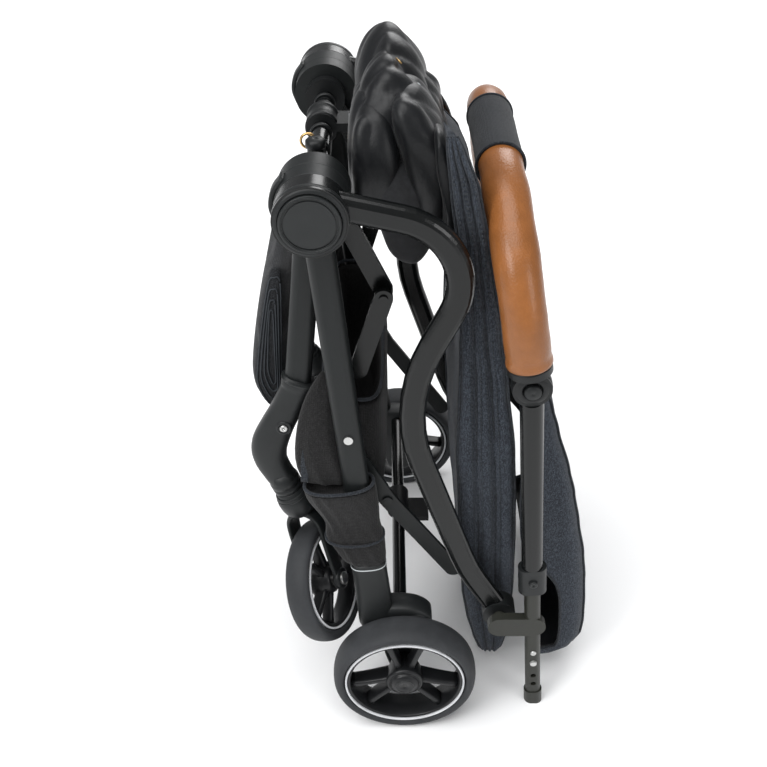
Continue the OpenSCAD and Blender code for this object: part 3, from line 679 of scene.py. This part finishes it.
def make_elbow(side):
    body = "front_frame"
    path = spline([at(-20.2, -116.4, 402), at(-24.5, -116.6, 390), at(-34, -117.2, 368), at(-45, -117.8, 345),
                   at(-52.5, -118, 325), at(-52.5, -118, 308), at(-47.5, -118, 293), at(-42, -118, 281.5)], 7)

    def section(t):
        if t < 0.12:
            w, d = 31.5 - 12 * abs(t - 0.05), 22.5
        else:
            bulge = math.exp(-((t - 0.58) / 0.2) ** 2)
            w, d = 28.6 + 6.5 * bulge - 1.5 * t, 21 + 3.5 * bulge + 3 * t
        return mm_section(w, d, 36, 2.5)

    elbow = sweep(f"{side}_elbow_body", path, section, (1, 0, 0), body, "casting")
    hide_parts(side + "_elbow")
    lip = frames(path, (1, 0, 0))[1]
    ring = [path[1] + lip[1] * u + lip[2] * v for u, v in oval_section(31.4 * MM, 22.6 * MM, 40, 2.5)]
    cord_line(f"{side}_elbow_lip", ring, 1.1, body, "cap", closed=True, hint=lip[0])
    lathe(f"{side}_elbow_collar", [
        (8.2, -0.2), (13.6, -0.2), (14.6, 0.8), (14.8, 4.5), (14, 5.2), (14, 6.4), (14.8, 7), (14.8, 11.5),
        (13.6, 13.5), (12.6, 22), (8.2, 22)], SWIVEL, body, "casting", 72)
    bolt = facing(at(-36.5, -128.6, 353))
    lathe(f"{side}_elbow_boss", [
        (0.05, -3), (7.6, -3), (7.6, 0.4), (6.8, 1.4), (5, 1.5), (4.6, 0.6), (0.05, 0.6)],
          bolt, body, "casting", 48)
    lathe(f"{side}_elbow_bolt", [
        (0.05, 0), (3.9, 0), (3.9, 1.6), (3.2, 2.4), (1.6, 2.6), (1.4, 1.6), (0.05, 1.6)],
          bolt, body, "steel", 32)


def make_housing(side):
    """The foot of a rear leg: a sleeve with a pale seam at its top and a rounded gear housing behind."""
    body = "rear_frame"
    top, foot = at(2.6, -130.9, 561.5), at(45, -160.5, 168)
    along = (foot - top).normalized()

    def leg(z):
        return top + along * ((top.z - z * MM) / -along.z)

    path = [leg(z) for z in (208, 206, 204, 190, 175, 160, 148, 138, 130)]
    path += [at(51, -160.5, 122), at(54, -160.4, 114)]

    def section(t):
        w = 35 if t < 0.22 else 33.2 + 5 * t
        return mm_section(w, (24.5 if t < 0.22 else 23) + t, 36, 2.7)

    sleeve = sweep(f"{side}_foot_sleeve", path, section, (1, 0, 0), body, "casting")
    lip = frames(path, (1, 0, 0))[2]
    ring = [path[2] + lip[1] * u + lip[2] * v for u, v in oval_section(34.6 * MM, 24.2 * MM, 44, 2.7)]
    cord_line(f"{side}_foot_seam", ring, 0.7, body, "pale_plastic", closed=True, hint=lip[0])
    outline = spline([at(dx, 0, z) for dx, z in (
        (34, 126), (44, 146), (66, 150), (88, 148), (103, 138), (106, 124), (99, 104), (97, 80), (90, 57),
        (78, 53), (64, 57), (58, 74), (53, 96), (38, 108))], 5, closed=True)
    levels = ((-146.5, 0.88), (-147.5, 0.95), (-150, 0.99), (-160, 1.0), (-168.5, 0.99), (-171, 0.95),
              (-172.3, 0.87))
    shell = loft(f"{side}_foot_housing", scaled_rings(outline, levels), body, "casting")
    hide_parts(side + "_rear_housing")
    bump = facing(at(88, -165, 128))
    lathe(f"{side}_foot_dome", [(0.05, -8), (15.5, -8), (15.5, 4), (14, 7), (10, 9), (5, 9.8), (0.05, 10)],
          bump, body, "casting", 56)


# ---------------------------------------------------------------- hubs and cross tube

def make_hub(side):
    face = facing(at(0, -163.8, HUB_Z))
    lathe(f"{side}_hub_bezel", [
        (24.6, -0.4), (29.2, -0.4), (29.9, -1.6), (30.15, -4), (30.15, -7), (29.2, -7), (29.2, -1.9),
        (28.4, 0.9), (25.6, 1.6), (24.9, 1.2)], face, "push_frame", "casting", 96)
    lathe(f"{side}_hub_disc_edge", [
        (22.4, 2.6), (24.2, 2.6), (24.6, 3.0), (24.2, 3.7), (23, 3.9), (22.2, 3.5)],
        face, "push_frame", "cap", 96)
    for k, y in enumerate((-120.2, -139.6)):
        seam = facing(at(0, y, HUB_Z))
        lathe(f"{side}_hub_seam_{k}", superellipse(29.6, 0.6, 0.9, 2, 10), seam, "rear_frame",
              "cap", 96)
    # The stop block at the front of the hub.
    block = spline([at(dx, -126, HUB_Z + z) for dx, z in ((-22, 21), (-30, 10), (-32.6, -3), (-29, -15))], 6)
    sweep(f"{side}_hub_stop", block, mm_section(15, 5, 20, 4), (0, 1, 0), "rear_frame",
          "casting")


def make_cross_tube():
    def about(y):
        return facing(at(0, y, HUB_Z))

    lathe("clamp_sleeve_ribs", [
        (14.1, -13.5), (15.2, -12.6), (15.2, -9), (14.3, -8), (14.3, 8), (15.2, 9), (15.2, 12.6),
        (14.1, 13.5), (13.5, 13.5), (13.5, -13.5)], about(32), "rear_frame", "black_plastic", 64)
    for k, y in enumerate((-52, -30, 6, 60, 78)):
        lathe(f"cross_tube_band_{k}", [(8, -2.6), (9.7, -2.2), (10.2, 0), (9.7, 2.2), (8, 2.6)], about(y),
              "rear_frame", "black_plastic", 48)
    knob = Matrix.Translation(at(0, -69, HUB_Z + 20.5))
    lathe("knob_cap", [(0.05, 0), (8.2, 0), (8.6, 1), (8.4, 5.4), (7, 6.9), (3, 7.4), (0.05, 7.5)], knob,
          "rear_frame", "black_plastic", 48)
    ring = [at(-9 + u, -28, HUB_Z + 8 + v) for u, v in circle(6.5, 32)]
    cord_line("pull_ring", ring, 1.2, "rear_frame", "brass",
              closed=True, hint=(0, 1, 0))


# ---------------------------------------------------------------- grip and handle

GRIP_ROUND = 56  # points round the grip
SLEEVE_GAP = 57  # half the stretch in the middle of the bow that has no leather seam

HANDLE_DX, TILT_Z = 181.5, 433  # the axis that the grip tilts on
TAIL_DX = 221
GRIP = Matrix.Translation(at(HANDLE_DX, 0, TILT_Z)) @ turned(-10, "Y") @ turned(90, "Z") @ turned(90, "X")
GRIP_AXIS = GRIP.to_3x3() @ Vector((0, 0, 1))
GRIP_R, SLEEVE_R = 19.35, 20.9
BOW_Y = 150  # the bow's straight middle, out from the tilt axis


def grip_path():
    """The grip's middle line from the left end to the right one, in its own plane."""
    left = [(-170, 24 + k * 2.0) for k in range(8)]
    for k in range(1, 19):
        a = math.radians(5 * k)
        left.append((-60 - 110 * math.cos(a), 40 + 110 * math.sin(a)))
    row = left + [(-60 + 120 * k / 12, BOW_Y) for k in range(1, 13)]
    row += [(-x, y) for x, y in reversed(left[:-1])]
    return row


def make_grip():
    row = grip_path()
    path = [GRIP @ vec(x, y, 0) for x, y in row]
    seeds = make_seeds(5, 21)

    def section(t):
        swell = 0.35 * math.sin(61 * t) + 0.25 * math.sin(23 * t + 1)
        ends = min(1.0, min(t, 1 - t) * 75)
        radius = 19.3 - 1.6 * (1 - ends) ** 2 + swell * ends
        return circle(radius * MM, GRIP_ROUND)

    grip = sweep("grip_leather", path, section, GRIP_AXIS, "grip", "grip_leather")
    push_points(grip, lambda p, n: 0.00035 * wave_noise(p, seeds, 260))
    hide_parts("grip_bar")
    # The leather's seam runs along the inside of the bow, stitched on both sides.
    bow_middle = GRIP @ vec(0, 60, 0)
    for name, off in (("grip_seam", 0.0), ("grip_stitch_front", -3.0), ("grip_stitch_back", 3.0)):
        line = []
        for (x, y), p, (tangent, side, up) in zip(row, path, frames(path, GRIP_AXIS)):
            inward = (bow_middle - p).normalized()
            inward = (inward - tangent * inward.dot(tangent)).normalized()
            line.append(p + inward * GRIP_R * MM + side * off * MM)
        halves = ([q for q, (x, y) in zip(line, row) if x < -SLEEVE_GAP],
                  [q for q, (x, y) in zip(line, row) if x > SLEEVE_GAP])
        for k, half in enumerate(halves):
            if name == "grip_seam":
                cord_line(f"grip_seam_{k}", half, 0.6, "grip", "grip_leather", hint=(0, 1, 0))
            else:
                stitches(f"{name}_{k}", half, lambda p: bow_middle - p, "grip", "tan_thread")
    sleeve_line = [GRIP @ vec(-55 + 110 * k / 24, BOW_Y, 0) for k in range(25)]
    wrinkle = make_seeds(6, 5)

    def sleeve_section(t):
        radius = 20.6 + 0.25 * math.sin(9 * t)
        return circle(radius * MM, GRIP_ROUND)

    sleeve = sweep("grip_sleeve_cloth", sleeve_line, sleeve_section, GRIP_AXIS, "grip",
                   "sleeve_fabric")
    push_points(sleeve, lambda p, n: 0.00045 * wave_noise(p, wrinkle, 90))
    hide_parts("grip_sleeve")
    for k, x in enumerate((-54.5, 54.5)):
        ring = [GRIP @ vec(x, BOW_Y + u, v) for u, v in circle(SLEEVE_R, 48)]
        cord_line(f"sleeve_hem_{k}", ring, 1.3, "grip", "piping", True, (0, 1, 0))
    seam_y, seam_z = SLEEVE_R * math.cos(2.4), -SLEEVE_R * math.sin(2.4)
    seam = [GRIP @ vec(x, BOW_Y + seam_y, seam_z) for x in range(-54, 55, 6)]
    cord_line("sleeve_seam", seam, 0.9, "grip", "piping")


def make_joint(side):
    """The rounded cover between the padded end and the tilt joint, with the button's bezel."""
    def ring(h, w, d, off=0.0, power=2.6):
        return [GRIP @ vec(-170 + off + v, h, u) for u, v in oval_section(w, d, 40, power)]

    cover = [ring(25.2, 36, 36, power=2), ring(24.8, 38.6, 38.6, power=2), ring(21, 39, 38.6, power=2),
             ring(18.5, 38.4, 36, 0.5, 2.1), ring(17.4, 36, 31, 1, 2.3), ring(17.2, 30, 24, 1, 2.3)]
    loft(f"{side}_grip_end_cap", cover, "grip", "black_plastic")
    inner = facing(at(HANDLE_DX, -163, TILT_Z))
    lathe(f"{side}_joint_shell", [
        (7.9, 14.2), (9.6, 15.2), (11.4, 15), (13.8, 14.2), (16.4, 12.6), (17.6, 10), (17.8, 3), (17.4, 0.4),
        (7.9, 0.4)], inner, "upper_handle", "black_plastic", 72)
    dome = facing(at(HANDLE_DX, -180, TILT_Z))
    lathe(f"{side}_button_dome", [(0.05, -1), (7.3, -1), (7.4, 0.2), (6.6, 1.2), (3, 1.7), (0.05, 1.8)], dome,
          side + "_button", "casting", 48)


def make_tails(side):
    lean = math.atan2(TAIL_DX - HANDLE_DX, TILT_Z)
    tube = Matrix.Translation(at(TAIL_DX, -170, 0)) @ Matrix.Rotation(-lean, 4, "Y")
    for k, (h, r) in enumerate(((70, 3.6), (86, 3.2))):
        head = tube @ facing(vec(0, -6.2, h))
        lathe(f"{side}_tail_rivet_{k}", [(0.05, -1), (r, -1), (r, 0.6), (r - 0.9, 1.6), (0.05, 2)], head,
              "lower_handle", "steel", 32)
    head = tube @ facing(vec(0, -9.9, 196))
    lathe(f"{side}_connector_screw", [
        (0.05, -1), (4.2, -1), (4.2, 0.4), (3.4, 1.1), (1.6, 1.1), (1.2, 0.3), (0.05, 0.3)],
        head, "upper_handle", "cap", 32)


# ---------------------------------------------------------------- soft goods

def top_fall(y, z):
    """How far the folded canopy's top edge has slumped away from the near side."""
    share = max(0.0, min(1.0, (z - 440) / 200)) ** 1.5
    return 78 * share * max(0.0, min(1.0, (y + 122) / 250)) ** 0.75


def shell_by_height(name, table, y_half, heights, body, material, seams, bulge, seeds):
    """A folded cloth body: oblong rings from top to bottom, bulging between its seams.

    The table gives the front and back edge at each height. Seams are shares of the side's width."""
    side_count, wide_count = 26, 34
    marks = [0.0] + list(seams) + [1.0]

    def puffed(t):
        for a, b in zip(marks, marks[1:]):
            if a <= t <= b:
                return math.sin(math.pi * (t - a) / (b - a)) ** 0.62
        return 0.0

    sides = [k / side_count for k in range(side_count)]
    across = [(k / wide_count, 10 * math.sin(math.pi * k / wide_count) ** 0.5) for k in range(wide_count)]
    rings = []
    for z in heights:
        front, back = rows_at(table, z)
        half = y_half(z)
        span = back - front
        ring = [(front + span * t, -half - bulge * puffed(t)) for t in sides]
        ring += [(back + 0.22 * push, -half + 2 * half * t) for t, push in across]
        ring += [(front + span * (1 - t), half + bulge * puffed(1 - t)) for t in sides]
        ring += [(front - 0.12 * push, half - 2 * half * t) for t, push in across]
        rings.append([at(x, y, z - top_fall(y, z)) for x, y in ring])
    piece = loft(name, rings, body, material)
    push_points(piece, lambda p, n: 0.0011 * wave_noise(p, seeds, 55)
                + 0.0006 * wave_noise(p, seeds[::-1], 150))
    subdivide(piece)
    return piece


CANOPY_EDGES = [
    (640, 105, 110), (628, 105, 117), (595, 109, 131), (540, 117, 143), (463, 123, 156), (400, 124.5, 168),
    (327, 125.5, 179), (262, 130, 185), (200, 134, 189), (132, 140, 192), (95, 146, 192), (60, 155, 190),
    (38, 162, 187), (26, 168, 183), (21, 172, 179)]


def make_canopy_rear():
    seeds = make_seeds(7, 11)
    heights = [640 - 619 * (k / 96) for k in range(97)]
    seams = (0.34, 0.66)

    def half(z):
        return 128 - 9 * max(0, (z - 600) / 40) ** 2 - 8 * max(0, (50 - z) / 30) ** 2

    body = shell_by_height("canopy_rear_cloth", CANOPY_EDGES, half, heights, "push_frame", "melange_fabric",
                           seams, 5.5, seeds)
    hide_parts("canopy_rear")
    for side_sign, label in ((-1, "left"), (1, "right")):
        for k, share in enumerate((0.0,) + seams + (1.0,)):
            line = []
            for j in range(60):
                z = 636 - 610 * j / 59
                front, back = rows_at(CANOPY_EDGES, z)
                y = side_sign * (half(z) + 0.9)
                line.append(at(front + (back - front) * share, y, z - top_fall(y, z)))
            cord_line(f"canopy_{label}_piping_{k}", line, 1.45, "push_frame", "piping",
                      hint=(0, 1, 0))
            if 0 < share < 1:
                for s, off in (("a", -4.2), ("b", 4.2)):
                    row = [p + Vector((off * MM, side_sign * 4.4 * MM, 0)) for p in line[3:-5]]
                    stitches(f"canopy_{label}_stitch_{k}{s}", row, (0, side_sign, 0), "push_frame",
                             "thread")


FLAP_EDGES = [
    (404, 194, 199), (392, 190, 204), (380, 188, 208), (348, 187, 217), (300, 188, 232), (272, 189.5, 240),
    (230, 192, 250), (188, 195.5, 260), (150, 198, 266), (110, 199, 270), (80, 201, 272), (62, 203, 271),
    (48, 206, 264), (39, 210, 250), (34, 214, 232)]


def make_canopy_front():
    """The canopy's front: one curved sheet round the back and both sides, open at the bottom."""
    seeds = make_seeds(7, 31)
    corner = 16
    rows, wide = 80, 48
    quarter = [(math.sin(math.radians(9 * k)), math.cos(math.radians(9 * k))) for k in range(10)]
    for name, inset, material in (("canopy_front_cloth", 0.0, "melange_fabric"),
                                  ("canopy_front_lining", 2.2, "satin_fabric")):
        verts = []
        for i in range(rows):
            z = 404 - 370 * i / (rows - 1)
            front, back = rows_at(FLAP_EDGES, z)
            closing = 1 if z > 52 else max(0.0, (z - 36) / 16)
            open_share = 0.62 / (1 + math.exp((z - 175) / 14)) * closing
            start = front + (back - front) * open_share
            back_in, half = back - inset, 139 - inset
            reach = max(0.5, min(corner, (back - start) * 0.9))
            side_length = max(0.2, back_in - reach - start)
            edge = [(start + side_length * k / 12, -half) for k in range(12)]
            edge += [(back_in - reach + reach * u, -half + reach - reach * v) for u, v in quarter]
            across = [(back_in, (-half + reach) * (1 - 2 * k / (wide - 1))) for k in range(wide)]
            points = edge + across + [(x, -y) for x, y in reversed(edge)]
            for x, y in points:
                q = at(x, y, z)
                q.x += 0.0022 * wave_noise(Vector((q.x, q.y * 0.8, q.z * 0.4)), seeds, 50)
                q.y += math.copysign(0.0016, q.y) * wave_noise(q, seeds, 70)
                verts.append(q)
        count = len(verts) // rows
        faces = ring_faces(rows, count, closed=False, capped=False)
        piece = new_piece(name, verts, faces, "canopy", material)
        piece.data.update()
        solid = piece.modifiers.new("cloth", "SOLIDIFY")
        solid.thickness = 0.0016
        solid.offset = 1
        if inset == 0.0:
            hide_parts("canopy_front")
            edges = {"left": [verts[i * count] for i in range(rows)],
                     "right": [verts[i * count + count - 1] for i in range(rows)]}
            for label, line in edges.items():
                cord_line(f"flap_{label}_binding", line[1:-1], 1.5, "canopy", "piping",
                          hint=(0, 1, 0))
            hem = [verts[(rows - 1) * count + k] for k in range(count)]
            cord_line("flap_hem", hem, 1.7, "canopy", "piping")
            for label, index in (("left", 20), ("right", count - 21)):
                line = [verts[i * count + index] + Vector((0.0012, 0, 0)) for i in range(2, rows - 1)]
                cord_line(f"flap_{label}_corner_piping", line, 1.3, "canopy", "piping",
                          hint=(0, 1, 0))


def bundle(name, outline, y0, y1, seed, folds, material="satin_fabric", end_shrink=0.42, arch=30, fall=0):
    """A soft bundle: an outline in X and Z carried across Y with rounded ends and deep folds."""
    curve = spline([at(dx, 0, HUB_Z + z) for dx, z in outline], 8, closed=True)
    middle = sum(curve, Vector()) / len(curve)
    top = max(p.z for p in curve)
    seeds = make_seeds(7, seed)
    slices = 56
    rings = []
    for i in range(slices):
        t = i / (slices - 1)
        edge = 1 - abs(2 * t - 1)
        scale = 1 - end_shrink * (1 - min(1, edge * 4.5)) ** 2.2
        sag = MM * (arch * (2 * t - 1) ** 2 + fall * t)
        rings.append([Vector((middle.x + (p.x - middle.x) * scale, (y0 + (y1 - y0) * t) * MM,
                              middle.z + (p.z - middle.z) * scale
                              - sag * max(0.0, (p.z - middle.z) / (top - middle.z)))) for p in curve])
    piece = loft(name, rings, "push_frame", material)

    def fold(p, n):
        warp = 3.2 * wave_noise(p, seeds, 26)
        main = crease(52 * p.y + 38 * p.x + 14 * p.z + warp, 0.75)
        fine = crease(120 * p.y - 60 * p.x + 30 * p.z + 1.7 * warp, 0.8)
        return MM * (folds * main + 0.4 * folds * fine + 2.2 * wave_noise(p, seeds[::-1], 75))

    push_points(piece, fold)
    subdivide(piece)
    return piece


def make_cover():
    """The black seat cover, bundled between the hubs, with the velvet seat back behind it."""
    main = bundle("seat_cover_bundle", [
        (40, 2), (36, 40), (37, 62), (44, 80), (56, 91), (66, 88), (80, 72), (90, 48), (93, 20), (88, -20),
        (72, -40), (52, -26)], -92, 90, 3, 3.0)
    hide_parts("seat_back_cover")
    bundle("seat_cover_lobe", [
        (32, 18), (33, 48), (42, 62), (56, 56), (66, 20), (62, -22), (48, -46), (36, -30)],
        -104, 20, 9, 2.4, arch=12)
    bundle("seat_cover_back_lobe", [
        (66, 70), (80, 74), (94, 58), (104, 38), (108, 4), (104, -30), (88, -38), (76, 10)],
        -112, 60, 19, 2.2, arch=10, fall=20)
    bundle("seat_velvet", [
        (50, -10), (54, 12), (68, 20), (88, 8), (98, -24), (96, -56), (82, -78), (60, -64)],
        -107, 86, 15, 1.2, "velvet", arch=4)
    bundle("seat_cover_band", [
        (96, 52), (103, 50), (110, 26), (115, -4), (118, -50), (118, -96), (113, -104), (109, -60),
        (105, -10), (98, 24)], -124, 118, 27, 0.6, end_shrink=0.16, arch=0, fall=50)
    bpy.context.view_layer.update()
    for k, (dx, y, width) in enumerate(((66, -38, 3.6), (80, -44, 3.2))):
        hit, place, normal, _ = main.ray_cast(at(dx, y, HUB_Z + 160), Vector((0, 0, -1)))
        if hit:
            lie = Vector((0.25, -1, 0))
            lie = (lie - normal * normal.dot(lie)).normalized()
            tag = [place + normal * 0.0012 + lie * (step * MM) for step in (0, 2, 5, 9)]
            sweep(f"zip_pull_{k}", tag, mm_section(width, 1.4, 16, 3), normal.cross(lie), "push_frame",
                  "brass" if k == 0 else "pale_plastic")


def make_leg_pad():
    """The calf rest: a padded panel, sewn in long curves along its sides."""
    outline = [(-33, 496), (-39, 500), (-44, 495), (-53, 455), (-62, 402), (-64, 376), (-57, 354), (-50, 345),
               (-43, 347), (-40, 354), (-38, 400), (-35, 450)]
    curve = spline([at(dx, 0, z) for dx, z in outline], 6, closed=True)
    middle = sum(curve, Vector()) / len(curve)
    rings = scaled_rings(curve, ((-97, 0.8), (-96, 0.93), (-92, 1), (92, 1), (96, 0.93), (97, 0.8)))
    pad = loft("leg_rest_cushion", rings, "front_frame", "pad_fabric")
    inflate(pad, 5, 4, 5)
    finish_piece(pad, "front_frame", "pad_fabric")
    subdivide(pad)
    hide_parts("leg_rest_pad")
    bpy.context.evaluated_depsgraph_get().update()
    for sign, label in ((-1, "left"), (1, "right")):
        for k, scale in enumerate((0.86, 0.66, 0.46, 0.27)):
            line = []
            for p in resample(curve + [curve[0]], 3 * MM):
                start = Vector((middle.x + (p.x - middle.x) * scale, sign * 0.14,
                                middle.z + (p.z - middle.z) * (0.35 + 0.65 * scale)))
                hit, place, normal, _ = pad.ray_cast(start, Vector((0, -sign, 0)))
                if hit:
                    line.append(place + normal * 0.0004)
            if len(line) > 8:
                cord_line(f"leg_rest_{label}_welt_{k}", line, 0.75, "front_frame", "thread",
                          hint=(0, 1, 0))


def make_basket(side):
    """The basket's side pocket and its sleeve round the rear leg, with a bound lip."""
    seeds = make_seeds(6, 43)

    def ring(z, dx, y, half_x, half_y, tilt=0.0, power=2.3):
        return [at(dx + u, y + v, z + tilt * u) for u, v in oval_section(2 * half_x, 2 * half_y, 48, power)]

    levels = [(302, 14, -149, 33, 17, 0.10), (296, 14, -149, 34, 17.5, 0.10), (284, 17, -149, 33, 16.5, 0.08),
              (268, 22, -149, 29, 15, 0.06), (254, 26, -150, 25.5, 14.5, 0.05),
              (244, 27, -151, 27.5, 16.5, 0.05), (238, 28, -151, 28, 17, 0.05),
              (228, 32, -153, 25, 15.5, 0.04), (214, 37, -156, 22, 14.5, 0.02),
              (204, 40, -157.5, 20, 13.5, 0.0)]
    rings = [ring(292, 14, -149, 27, 12, 0.10), ring(298, 14, -149, 30.5, 14.8, 0.10)]
    rings += [ring(*level) for level in levels]
    wrap = loft(f"{side}_basket_sleeve", rings, "rear_frame", "basket_fabric")
    push_points(wrap, lambda p, n: 0.0016 * wave_noise(p, seeds, 85) + 0.0012 * crease(260 * p.x + 120 * p.z))
    subdivide(wrap)
    cord_line(f"{side}_sleeve_lip", ring(302.5, 14, -149, 32.6, 16.6, 0.10), 1.7, "rear_frame", "piping",
              closed=True)
    cord_line(f"{side}_sleeve_fold", ring(237, 28, -151, 28.4, 17.4, 0.05), 1.4, "rear_frame", "piping",
              closed=True)
    pocket = [ring(z, dx, y, hx, hy) for z, dx, y, hx, hy in (
        (418, 4, -127, 4, 3), (410, 3, -128, 8, 5), (392, 0, -129, 13, 7.5), (368, -4, -131, 17, 9.5),
        (345, -6, -134, 21, 12), (325, -4, -138, 24, 14), (308, 0, -141, 24, 13), (298, 4, -142, 20, 10))]
    bag = loft(f"{side}_basket_pocket", pocket, "rear_frame", "basket_fabric")
    push_points(bag, lambda p, n: 0.0018 * wave_noise(p, seeds, 80) + 0.0013 * crease(180 * p.x + 60 * p.z))
    subdivide(bag)
    # A tape sewn down the pocket to the sleeve's lip.
    tape = spline([at(-12, -140.5, 352), at(-17, -146.5, 330), at(-18, -151, 306)], 6)
    sweep(f"{side}_basket_tape", tape, mm_section(7, 1.4, 16, 4), (1, 0, 0), "rear_frame", "piping")


def make_basket_bag():
    """The shopping basket: a sagging cloth tub, open at the top, with a bound rim."""
    seeds = make_seeds(6, 51)
    inner = [(262, 18, 46, 108), (280, 9, 54, 118), (320, 6, 55, 120), (370, 3, 53, 122)]
    outer = [(383, -2, 56, 126), (372, -1, 57, 126.5), (350, 0, 59, 126), (320, 2, 60, 125),
             (290, 3, 61, 124), (268, 5, 60, 122), (254, 10, 55, 117), (248, 16, 48, 110), (245, 22, 42, 96)]
    rings = []
    for z, front, back, half in inner + outer:
        sag = 5 if z > 360 else 5 * 0.3
        rings.append([at((front + back) / 2 + u, v, z - sag * (1 - (v / half) ** 2))
                      for u, v in oval_section(back - front, 2 * half, 96, 5)])
    bag = loft("basket_bag", rings, "rear_frame", "basket_fabric")
    push_points(bag, lambda p, n: 0.0018 * wave_noise(p, seeds, 60)
                + 0.0008 * wave_noise(p, seeds[::-1], 160))
    subdivide(bag)
    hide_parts("basket")
    rim = [at(27 + u, v, 384 - 5 * (1 - (v / 126) ** 2)) for u, v in oval_section(57, 252, 96, 5)]
    cord_line("basket_rim", rim, 1.8, "rear_frame", "piping", closed=True)


# ---------------------------------------------------------------- the whole stroller

each_side(make_wheels)
each_side(make_fork)
each_side(make_elbow)
each_side(make_housing)
each_side(make_hub)
each_side(make_joint)
each_side(make_tails)
each_side(make_basket)
make_cross_tube()
make_grip()
make_canopy_rear()
make_canopy_front()
make_cover()
make_basket_bag()
make_leg_pad()


# ---------------------------------------------------------------- stage, light and camera

def make_stage():
    bpy.ops.mesh.primitive_plane_add(size=14, location=(0, 0, 0))
    floor = bpy.context.object
    floor.name = "floor"
    m = Nodes("floor_paper", (0.93, 0.932, 0.935), 0.75)
    m.rough(m.noise(6, 2), 0.65, 0.75)
    floor.data.materials.append(m.material)
    world = bpy.data.worlds.new("studio")
    bpy.context.scene.world = world
    world.use_nodes = True
    world.node_tree.nodes["Background"].inputs["Color"].default_value = (0.97, 0.98, 1.0, 1)
    world.node_tree.nodes["Background"].inputs["Strength"].default_value = 0.30
    view = bpy.context.scene.view_settings
    view.view_transform = "Standard"
    view.look = "None"
    view.exposure = 0.0
    view.gamma = 1.0


def area_light(name, place, target, size, power):
    data = bpy.data.lights.new(name, "AREA")
    data.shape = "DISK"
    data.size = size
    data.energy = power
    light = bpy.data.objects.new(name, data)
    light.location = place
    light.rotation_euler = (Vector(target) - Vector(place)).to_track_quat("-Z", "Y").to_euler()
    bpy.context.scene.collection.objects.link(light)


def soft_sun():
    """Even light from above, which keeps the floor white and the upright faces dark."""
    data = bpy.data.lights.new("sky", "SUN")
    data.energy = 2.55
    data.angle = math.radians(55)
    sun = bpy.data.objects.new("sky", data)
    sun.rotation_euler = (math.radians(8), math.radians(-10), 0)
    bpy.context.scene.collection.objects.link(sun)


def make_camera():
    data = bpy.data.cameras.new("camera")
    data.sensor_width = 36
    data.lens = 46.94
    camera = bpy.data.objects.new("camera", data)
    camera.location = (HUB_X * MM + 0.056, -0.844, 0.9445)
    camera.rotation_euler = (math.radians(52.96), 0, 0)
    bpy.context.scene.collection.objects.link(camera)
    bpy.context.scene.camera = camera


make_stage()
soft_sun()
area_light("key", (-1.6, -1.5, 1.9), (0, 0, 0.35), 1.1, 30)
area_light("fill", (1.9, -1.7, 1.3), (0, 0, 0.3), 1.0, 12)
area_light("back", (0.5, 2.0, 1.6), (0, 0, 0.35), 1.2, 16)
make_camera()
